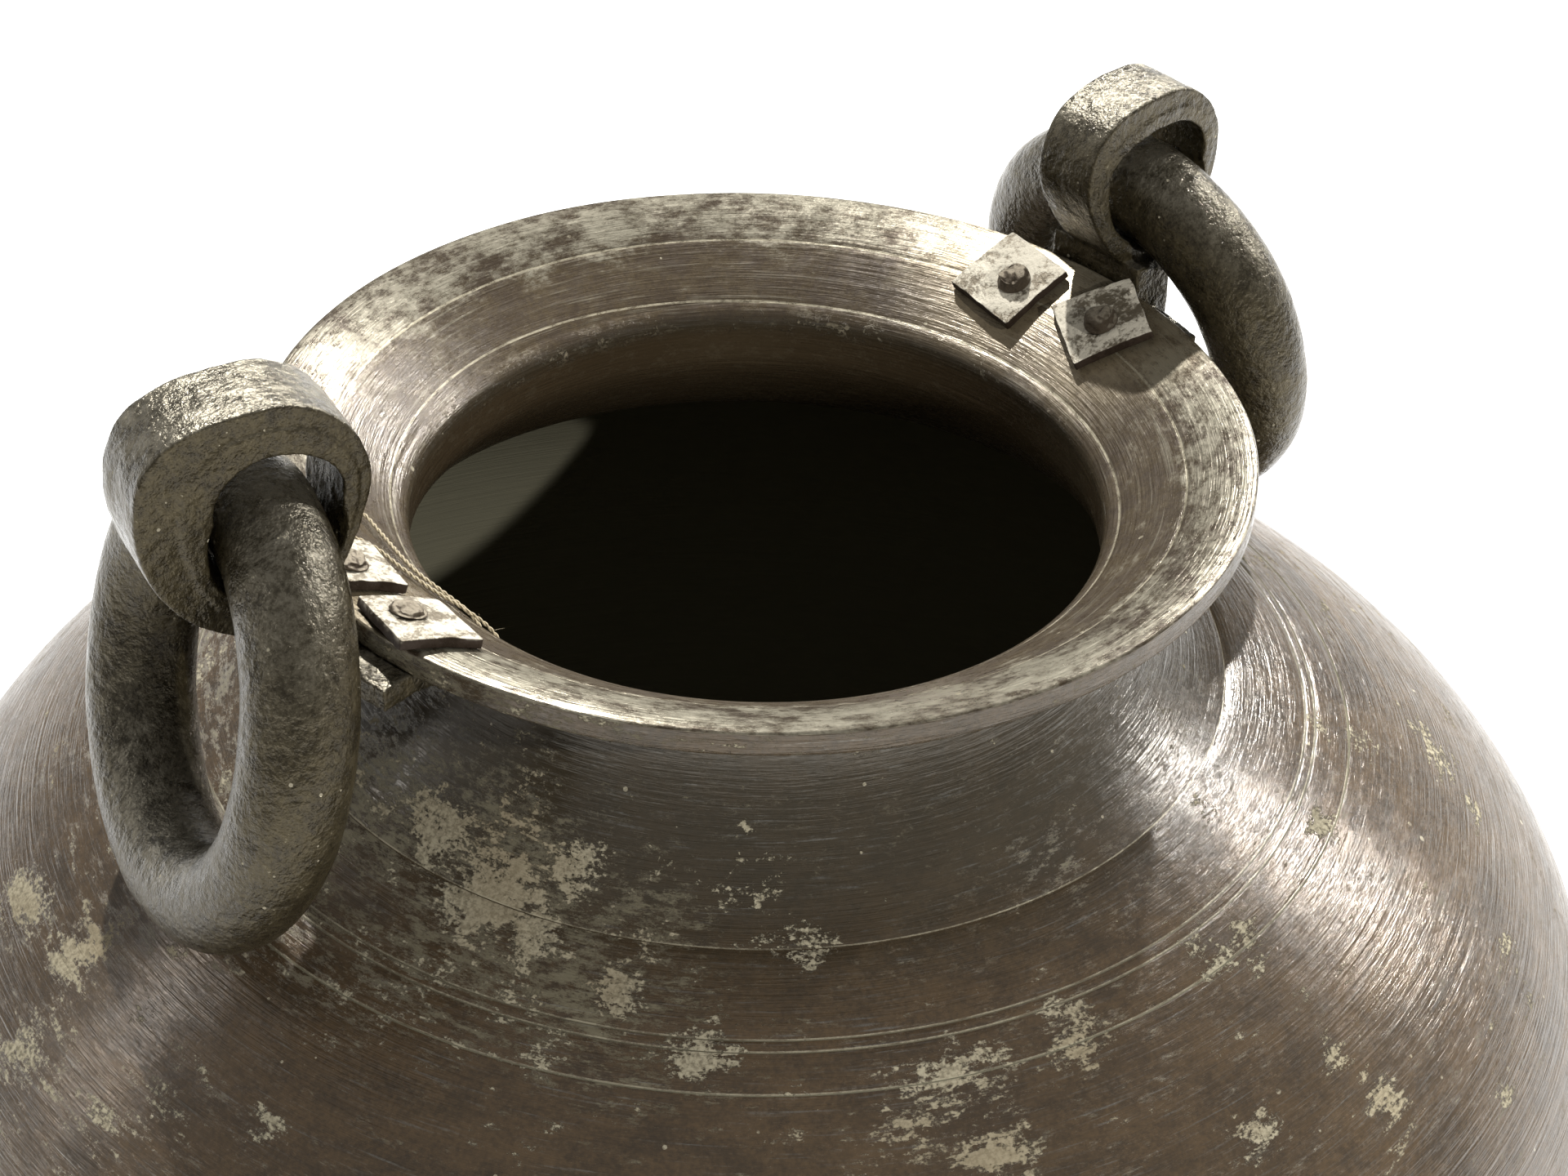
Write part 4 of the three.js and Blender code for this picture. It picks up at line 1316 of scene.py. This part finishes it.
    def swing_space(self) -> bpy.types.Object:
        """The waisted room that the ring's bar sweeps through the eye."""
        s = self.shape
        half = (max(s.eye_width, s.block_width) + self.block_depth) / 2
        inner = s.ring_radius - s.bar_radius
        profile = [(0.0, -half)]
        for along in np.linspace(-half, half, 25):
            profile.append((s.ring_radius - math.sqrt(inner**2 - along**2) + self.gap, along))
        profile.append((0.0, half))
        loops = revolved(profile, 64)
        upright = np.stack([loops[..., 0], loops[..., 2], loops[..., 1]], axis=-1)
        return loft("swing_space", moved(upright, self.hinge()))

    def build(self, finish: bpy.types.Material) -> bpy.types.Object:
        """Forge the ear in one piece and dress it.

        Args:
            finish: The forged brass.

        Returns:
            The ear.
        """
        s = self.shape
        pot = self.pot
        inner = pot.rim_radius + self.gap
        foot = pot.flare_under(pot.rim_radius) - self.gap - self.plate_thickness
        spread = math.degrees(s.block_width / 2 / pot.rim_radius)
        tail = math.degrees((self.tail_radius + self.plate_margin) / (pot.rim_radius - self.plate_inset))
        bearings = [s.bearing + math.degrees(rivet.along / pot.rim_radius) for rivet in s.rivets]
        block = self.sector(
            "block", inner, inner + self.block_depth, s.bearing - spread, s.bearing + spread,
            lambda r: foot, lambda r: pot.height + s.block_height,
        )
        plate = self.sector(
            "plate", pot.rim_radius - self.plate_inset, pot.rim_radius + self.plate_reach,
            min(s.bearing - spread, min(bearings) - tail), max(s.bearing + spread, max(bearings) + tail),
            lambda r: pot.flare_under(r) - self.gap - self.plate_thickness, lambda r: pot.flare_under(r) - self.gap,
        )
        band = self.band()
        rim_space = self.rim_space()
        swing = self.swing_space()
        cut(band, rim_space, swing)
        cut(block, swing)
        for tool in (rim_space, swing):
            bpy.data.objects.remove(tool)
        name = f"forged_ear_{s.side.value}"
        piece = join(name, [band, block, plate])
        weld = piece.modifiers.new("weld", "REMESH")
        weld.mode = "VOXEL"
        weld.voxel_size = self.voxel * MM
        soften = piece.modifiers.new("soften", "SMOOTH")
        soften.factor = 0.5
        soften.iterations = 1
        settle(piece)
        forged(piece, 0.3, 9.0, s.bearing)
        piece.data.shade_smooth()
        finished(piece, finish, Body.POT, Slot.FORGED, f"ear_{s.side.value}")
        return piece


@dataclass
class RingHandle:
    """A round bar forged into a ring, hanging in its ear."""

    ear: Ear
    turns: int = 200
    sides: int = 56

    def build(self, frame: dict, finish: bpy.types.Material) -> bpy.types.Object:
        """Forge the ring where its solid hangs and dress it.

        Args:
            frame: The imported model.
            finish: The forged brass.

        Returns:
            The ring.
        """
        s = self.ear.shape
        node = f"ring_{s.side.value}"
        hinge = self.ear.hinge()
        solid = np.array([tuple(v.co) for v in frame["nodes"][node].data.vertices]) / MM
        centre = hinge.inverted() @ Vector(solid.mean(axis=0))
        lean = math.atan2(centre.x, -centre.z)
        place = hinge @ Matrix.Rotation(-lean, 4, "Y") @ Matrix.Translation((0, 0, -s.ring_radius))
        bar = s.bar_radius - 0.1
        loops = []
        for i in range(self.turns):
            turn = 2 * math.pi * i / self.turns
            swell = 1 + 0.012 * math.sin(2 * turn + 0.7) + 0.008 * math.sin(5 * turn)
            out = np.array([0.0, math.sin(turn), math.cos(turn)])
            side = np.array([1.0, 0.0, 0.0])
            ring = []
            for j in range(self.sides):
                around = 2 * math.pi * j / self.sides
                reach = bar * min(1.0, 0.995 * swell)
                ring.append(out * (s.ring_radius + reach * math.cos(around)) + side * reach * math.sin(around))
            loops.append(ring)
        piece = loft(f"forged_ring_{s.side.value}", moved(np.array(loops), place), wrap=True)
        forged(piece, 0.2, 13.0, 3.0 + s.bearing)
        body = Body.RING_FAR if s.side is Side.FAR else Body.RING_NEAR
        finished(piece, finish, body, Slot.FORGED, node)
        return piece


# Washers and rivets


@dataclass
class RivetedWasher:
    """A square washer and the rivet closed over it."""

    ear: Ear
    spot: RivetSpot
    thickness: float = 3.0
    crown: float = 0.7
    shank: float = 3.8
    clearance: float = 0.35
    head_radius: float = 5.4
    head_height: float = 4.6
    head_section: tuple[tuple[float, float], ...] = ((0.96, 0), (1, 0.3), (0.78, 0.8), (0.45, 1), (0, 0.97))
    around: int = 160

    def frame(self) -> Matrix:
        """The rivet's frame: its middle on the rim's upper face, Z along the face's normal."""
        pot = self.ear.pot
        radius = pot.rim_radius - self.spot.inset
        bearing = math.radians(self.ear.shape.bearing) + self.spot.along / pot.rim_radius
        place = Vector((radius * math.cos(bearing), radius * math.sin(bearing), pot.flare_top(radius)))
        turn = Matrix.Rotation(bearing, 4, "Z") @ Matrix.Rotation(-pot.flare_tilt(radius), 4, "Y")
        return Matrix.Translation(place) @ turn

    def suffix(self) -> str:
        """The end of the names of this washer and rivet."""
        return f"{self.ear.shape.side.value}_{self.spot.name}"

    def lift(self, frame: dict) -> float:
        """Height of the washer's underside at its middle, taken from its solid.

        Args:
            frame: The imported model.

        Returns:
            The height over the rim's face along the rivet, in millimetres.
        """
        back = self.frame().inverted()
        solid = frame["nodes"][f"washer_{self.suffix()}"].data.vertices
        return max((back @ (v.co / MM)).z for v in solid) - self.thickness

    def washer(self, lift: float) -> bpy.types.Object:
        """Cut the washer: a sheared square with softened edges, a hole and a slight crown.

        Args:
            lift: Height of its underside.

        Returns:
            The washer.
        """
        spot = self.spot
        angles = np.arange(self.around) * 2 * math.pi / self.around
        turn = math.radians(spot.turn)
        hole = (self.shank + self.clearance) * np.stack([np.cos(angles), np.sin(angles)], axis=-1)
        ends = []
        for angle in angles:
            local = angle - turn
            reach = 1 / max(abs(math.cos(local)) / (spot.width / 2), abs(math.sin(local)) / (spot.length / 2))
            nick = noise.noise(Vector((math.cos(angle) * 3, math.sin(angle) * 3, spot.turn)))
            waver = 1 - 0.022 * (1 + nick)
            away = Vector((math.cos(angle), math.sin(angle))) * reach * waver
            ends.append((away.x + spot.shift[0], away.y + spot.shift[1]))
        ends = np.array(ends)
        loops = []
        soft = 0.35
        rows = [(share, 0.0) for share in np.linspace(0, 0.97, 12)]
        rows += [(0.99, 0.1), (1.0, soft), (1.0, self.thickness - soft), (0.99, self.thickness - 0.1)]
        rows += [(share, self.thickness) for share in np.linspace(0.97, 0, 12)]
        for share, level in rows:
            flat = hole + (ends - hole) * share
            sag = self.crown * (flat[:, 0] / (spot.width / 2)) ** 2
            loops.append(np.stack([flat[:, 0], flat[:, 1], lift + level - sag], axis=-1))
        piece = loft(f"sheet_washer_{self.suffix()}", moved(np.array(loops), self.frame()), wrap=True)
        seed = Vector((spot.turn, spot.along, 0))

        def batter(place: Vector, normal: Vector) -> Vector:
            """Dent the upper face a little and leave the underside flat."""
            dent = 0.4 * noise.noise(place / 6 + seed) + 0.2 * noise.noise(place / 2.5 + seed) - 0.15
            return place + normal * dent * max(0.0, normal.z)

        reshaped(piece, batter)
        return piece

    def rivet(self, frame: dict, lift: float) -> bpy.types.Object:
        """Close the rivet: a lumpy head over the washer, a shank and a tail under the plate.

        Args:
            frame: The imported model.
            lift: Height of the washer's underside.

        Returns:
            The rivet.
        """
        back = self.frame().inverted()
        solid = frame["nodes"][f"rivet_{self.suffix()}"].data.vertices
        bottom = min((back @ (v.co / MM)).z for v in solid)
        seat = lift + self.thickness + 0.3
        outline = [(0.0, bottom), (4.4, bottom), (6.0, bottom + 1.3), (6.1, bottom + 2.6), (self.shank, bottom + 2.6)]
        outline += [(self.shank, seat), (self.head_radius * 0.94, seat)]
        tall = self.head_height * self.spot.head
        head = [(self.head_radius * across, seat + tall * up) for across, up in self.head_section]
        outline += bezier([head[0], head[1], head[2]], 14)[1:] + bezier([head[2], head[3], head[4]], 14)[1:]
        piece = loft(f"peened_rivet_{self.suffix()}", moved(revolved(outline, 72), self.frame()))
        axis = self.frame()
        seed = Vector((self.spot.along, self.spot.turn, 5))

        def peen(place: Vector, normal: Vector) -> Vector:
            """Knock the head out of true, inward only."""
            height = (back @ place).z - seat
            if height <= 0.1:
                return place
            knock = self.spot.knock * (noise.noise(place / 4 + seed) - 0.4) + 0.5 * noise.noise(place / 1.6 + seed)
            return place + normal * min(0.0, knock) * min(1.0, height / (1.5 * self.spot.head))

        reshaped(piece, peen)
        LOG.debug("rivet axis %s", axis.to_translation())
        return piece

    def build(self, frame: dict, sheet: bpy.types.Material, peened: bpy.types.Material) -> None:
        """Make the washer and the rivet and dress them.

        Args:
            frame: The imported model.
            sheet: The washers' finish.
            peened: The rivets' finish.
        """
        lift = self.lift(frame)
        finished(self.washer(lift), sheet, Body.POT, Slot.WASHER, f"washer_{self.suffix()}")
        finished(self.rivet(frame, lift), peened, Body.POT, Slot.RIVET, f"rivet_{self.suffix()}")


# Twine


@dataclass
class Twine:
    """Twine doubled over the rim's edge behind the near ear, with both ends in the neck.

    Each point of the route is its inset from the rim's edge, its place along the edge from the near
    ear's bearing, and its height over the rim's upper face.
    """

    pot: PotShape = field(default_factory=PotShape)
    bearing: float = 176.0
    diameter: float = 1.2
    lay_length: float = 4.2
    route: tuple[tuple[float, float, float], ...] = (
        (44.4, 31.8, -36.1),
        (43.7, 30.8, -22.7),
        (43.4, 27.9, -11.0),
        (43.1, 18.1, -3.6),
        (41.8, 8.3, 0.8),
        (38.4, 0.5, 2.0),
        (35.0, -10.3, 2.2),
        (33.2, -21.0, 2.3),
        (31.1, -35.2, 2.1),
        (27.7, -45.4, 2.1),
        (22.0, -50.8, 1.4),
        (13.0, -54.2, 1.1),
        (4.0, -55.2, 1.3),
        (-0.6, -55.2, 0.9),
        (-2.4, -54.7, -2.4),
        (-2.6, -52.3, -10.0),
        (-2.2, -45.4, -17.6),
        (-1.8, -38.1, -20.0),
        (-2.0, -30.8, -16.6),
        (-2.6, -24.9, -9.0),
        (-2.4, -22.5, -2.2),
        (-0.6, -22.5, 1.0),
        (4.0, -23.5, 1.5),
        (11.0, -24.9, 1.5),
        (15.7, -25.9, 1.5),
        (21.5, -26.4, 1.4),
        (26.6, -23.0, 1.5),
        (30.6, -13.2, 1.4),
        (34.6, -0.5, 1.7),
        (38.6, 11.7, 2.1),
        (41.8, 21.5, 0.7),
        (43.1, 30.8, -5.2),
        (43.6, 39.1, -16.8),
        (44.2, 40.6, -28.3),
    )

    def spots(self) -> list[Vector]:
        """The route's points in the model's axes, in millimetres."""
        made = []
        for inset, along, lift in self.route:
            radius = self.pot.rim_radius - inset
            bearing = math.radians(self.bearing) + along / self.pot.rim_radius
            made.append(
                Vector((radius * math.cos(bearing), radius * math.sin(bearing), self.pot.flare_top(radius) + lift))
            )
        return made

    def path(self, step: float) -> list[Vector]:
        """A smooth line through the route at even steps.

        Args:
            step: Distance between points, in millimetres.

        Returns:
            The line's points.
        """
        spots = self.spots()
        ends = [spots[0] * 2 - spots[1]] + spots + [spots[-1] * 2 - spots[-2]]
        dense = []
        for a, b, c, d in zip(ends, ends[1:], ends[2:], ends[3:]):
            t1 = (b - a).length ** 0.5
            t2 = t1 + (c - b).length ** 0.5
            t3 = t2 + (d - c).length ** 0.5
            for i in range(24):
                t = t1 + (t2 - t1) * i / 24
                p = a.lerp(b, t / t1)
                q = b.lerp(c, (t - t1) / (t2 - t1))
                r = c.lerp(d, (t - t2) / (t3 - t2))
                left = p.lerp(q, t / t2)
                right = q.lerp(r, (t - t1) / (t3 - t1))
                dense.append(left.lerp(right, (t - t1) / (t2 - t1)))
        dense.append(spots[-1])
        lengths = np.concatenate([[0], np.cumsum([(q - p).length for p, q in zip(dense, dense[1:])])])
        count = max(2, round(lengths[-1] / step))
        wanted = np.linspace(0, lengths[-1], count + 1)
        table = np.array([tuple(p) for p in dense])
        return [Vector(np.array([np.interp(w, lengths, table[:, k]) for k in range(3)])) for w in wanted]

    def ply(self, path: list[Vector], phase: float, step: float) -> np.ndarray:
        """One of the two plies, wound about the line.

        Args:
            path: The twine's line.
            phase: Where round the line this ply starts.
            step: Distance between the line's points.

        Returns:
            Loops for loft.
        """
        radius = self.diameter / 4
        across = Vector((0, 0, 1)).cross(path[1] - path[0]).normalized()
        loops = []
        for i, spot in enumerate(path):
            ahead = (path[min(i + 1, len(path) - 1)] - path[max(i - 1, 0)]).normalized()
            across = (across - ahead * across.dot(ahead)).normalized()
            upward = ahead.cross(across)
            wind = phase + 2 * math.pi * i * step / self.lay_length
            middle = spot + (across * math.cos(wind) + upward * math.sin(wind)) * (self.diameter / 2 - radius)
            ring = []
            for j in range(8):
                turn = 2 * math.pi * j / 8
                ring.append(tuple(middle + (across * math.cos(turn) + upward * math.sin(turn)) * radius))
            loops.append(ring)
        return np.array(loops)

    def fibres(self, path: list[Vector]) -> bpy.types.Object:
        """Loose hairs along the twine and a brush of them at both ends.

        Args:
            path: The twine's line.

        Returns:
            The hairs as one piece.
        """
        rng = np.random.default_rng(11)
        parts = []
        places = [int(len(path) * share) for share in rng.uniform(0.16, 0.92, 34)]
        places += [0] * 7 + [len(path) - 1] * 7
        for number, at in enumerate(places):
            spot = path[at]
            out = Vector((spot.x, spot.y, 0)).normalized()
            lean = Vector(rng.normal(0, 0.6, 3)) + Vector((0, 0, 0.9)) - out * 0.1
            reach = float(rng.uniform(1.2, 3.4))
            if at in (0, len(path) - 1):
                lean = Vector(rng.normal(0, 0.25, 3)) + Vector((0, 0, -1))
                reach = float(rng.uniform(2.0, 5.0))
            lean.normalize()
            if spot.z > self.pot.height:
                lean.z = -abs(lean.z) * 0.1
            bend = Vector(rng.normal(0, 0.3, 3))
            line = [spot + lean * reach * share + bend * reach * share**2 for share in (0, 0.35, 0.7, 1.0)]
            loops = []
            for k, point in enumerate(line):
                size = 0.07 * (1 - 0.8 * k / 3)
                side = lean.orthogonal().normalized()
                other = lean.cross(side).normalized()
                loops.append(
                    [tuple(point + (side * math.cos(t) + other * math.sin(t)) * size) for t in (0, 2.09, 4.19)]
                )
            parts.append(loft(f"hair_{number}", np.array(loops)))
        return join("twine_hairs", parts)

    def build(self, finish: bpy.types.Material) -> bpy.types.Object:
        """Args:
            finish: The twine's finish.

        Returns:
            The twine.
        """
        step = 0.6
        path = self.path(step)
        piece = join("two_ply_twine", [loft(f"ply_{k}", self.ply(path, k * math.pi, step)) for k in (0, 1)])
        piece.data.shade_smooth()
        finished(piece, finish, Body.POT, Slot.TWINE, "twine")
        hairs = self.fibres(path)
        finished(hairs, finish, Body.POT, Slot.TWINE)
        return piece


# Studio


@dataclass(frozen=True)
class Lamp:
    """A square soft lamp, aimed at the rim.

    Bearings are in degrees about the pot's axis from +X, and elevations are above the floor.
    """

    name: str
    bearing: float
    elevation: float
    power: float
    size: float
    distance: float = 3.0
    glossy: bool = True


@dataclass
class Studio:
    """Camera, lamps, floor and surroundings."""

    eye: tuple[float, float, float] = (-0.5327, -0.6349, 0.9030)
    right: tuple[float, float, float] = (0.77208, -0.63482, 0.0299)
    upward: tuple[float, float, float] = (0.34382, 0.45661, 0.8205)
    ahead: tuple[float, float, float] = (0.53453, 0.62321, -0.5708)
    lens: float = 80.47
    aim: tuple[float, float, float] = (0.0, 0.0, 0.33)
    surround: float = 0.28
    lamps: tuple[Lamp, ...] = (
        Lamp("key_left", 66.0, 53.0, 116.0, 0.06),
        Lamp("key_right", 30.0, 34.0, 58.0, 0.06),
        Lamp("side_right", -6.0, 30.0, 44.0, 0.1),
        Lamp("front_right", -90.0, 29.5, 56.0, 0.06, glossy=False),
        Lamp("back_left", 133.0, 27.0, 7.0, 0.4),
    )

    def camera(self) -> None:
        """Set up the camera at the photograph's angle."""
        data = bpy.data.cameras.new("camera")
        data.sensor_width = 36.0
        data.lens = self.lens
        data.clip_end = 100.0
        camera = bpy.data.objects.new("camera", data)
        axes = Matrix((self.right, self.upward, -Vector(self.ahead))).transposed().to_4x4()
        camera.matrix_world = Matrix.Translation(self.eye) @ axes
        bpy.context.scene.collection.objects.link(camera)
        bpy.context.scene.camera = camera

    def light(self) -> None:
        """Hang the lamps and set the surroundings."""
        for lamp in self.lamps:
            data = bpy.data.lights.new(lamp.name, "AREA")
            data.shape = "SQUARE"
            data.size = lamp.size
            data.energy = lamp.power
            made = bpy.data.objects.new(lamp.name, data)
            made.visible_glossy = lamp.glossy
            bearing = math.radians(lamp.bearing)
            rise = math.radians(lamp.elevation)
            away = Vector((math.cos(rise) * math.cos(bearing), math.cos(rise) * math.sin(bearing), math.sin(rise)))
            made.location = Vector(self.aim) + away * lamp.distance
            made.rotation_euler = away.to_track_quat("Z", "Y").to_euler()
            bpy.context.scene.collection.objects.link(made)
        world = bpy.data.worlds.new("studio")
        world.use_nodes = True
        tree = world.node_tree
        tree.nodes.clear()
        glow = wire(tree, "Background", {"Color": (1, 1, 1, 1), "Strength": self.surround})
        wire(tree, "OutputWorld", {"Surface": glow})
        bpy.context.scene.world = world

    def floor(self) -> None:
        """Lay the paper floor."""
        mesh = bpy.data.meshes.new("floor")
        reach = 40.0
        corners = [(-reach, -reach, 0), (reach, -reach, 0), (reach, reach, 0), (-reach, reach, 0)]
        mesh.from_pydata(corners, [], [(0, 1, 2, 3)])
        floor = bpy.data.objects.new("floor", mesh)
        floor.location.z = -0.0003
        floor.data.materials.append(StudioPaper().build())
        bpy.context.scene.collection.objects.link(floor)

    def build(self) -> None:
        """Set up the whole studio."""
        self.camera()
        self.light()
        self.floor()
        bpy.context.scene.view_settings.view_transform = "Standard"


def main() -> None:
    """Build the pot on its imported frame."""
    logging.basicConfig(level=logging.INFO, format="%(name)s: %(message)s")
    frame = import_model()
    Studio().build()
    twine = PlantTwine().build()
    Twine().build(twine)
    Pot().build(TurnedBrass().build())
    forged_brass = ForgedBrass().build()
    sheet = DustySheetBrass().build()
    peened = PeenedBrass().build()
    for shape in (FAR_EAR, NEAR_EAR):
        ear = Ear(shape)
        ear.build(forged_brass)
        RingHandle(ear).build(frame, forged_brass)
        for spot in shape.rivets:
            RivetedWasher(ear, spot).build(frame, sheet, peened)


if __name__ == "__main__":
    main()
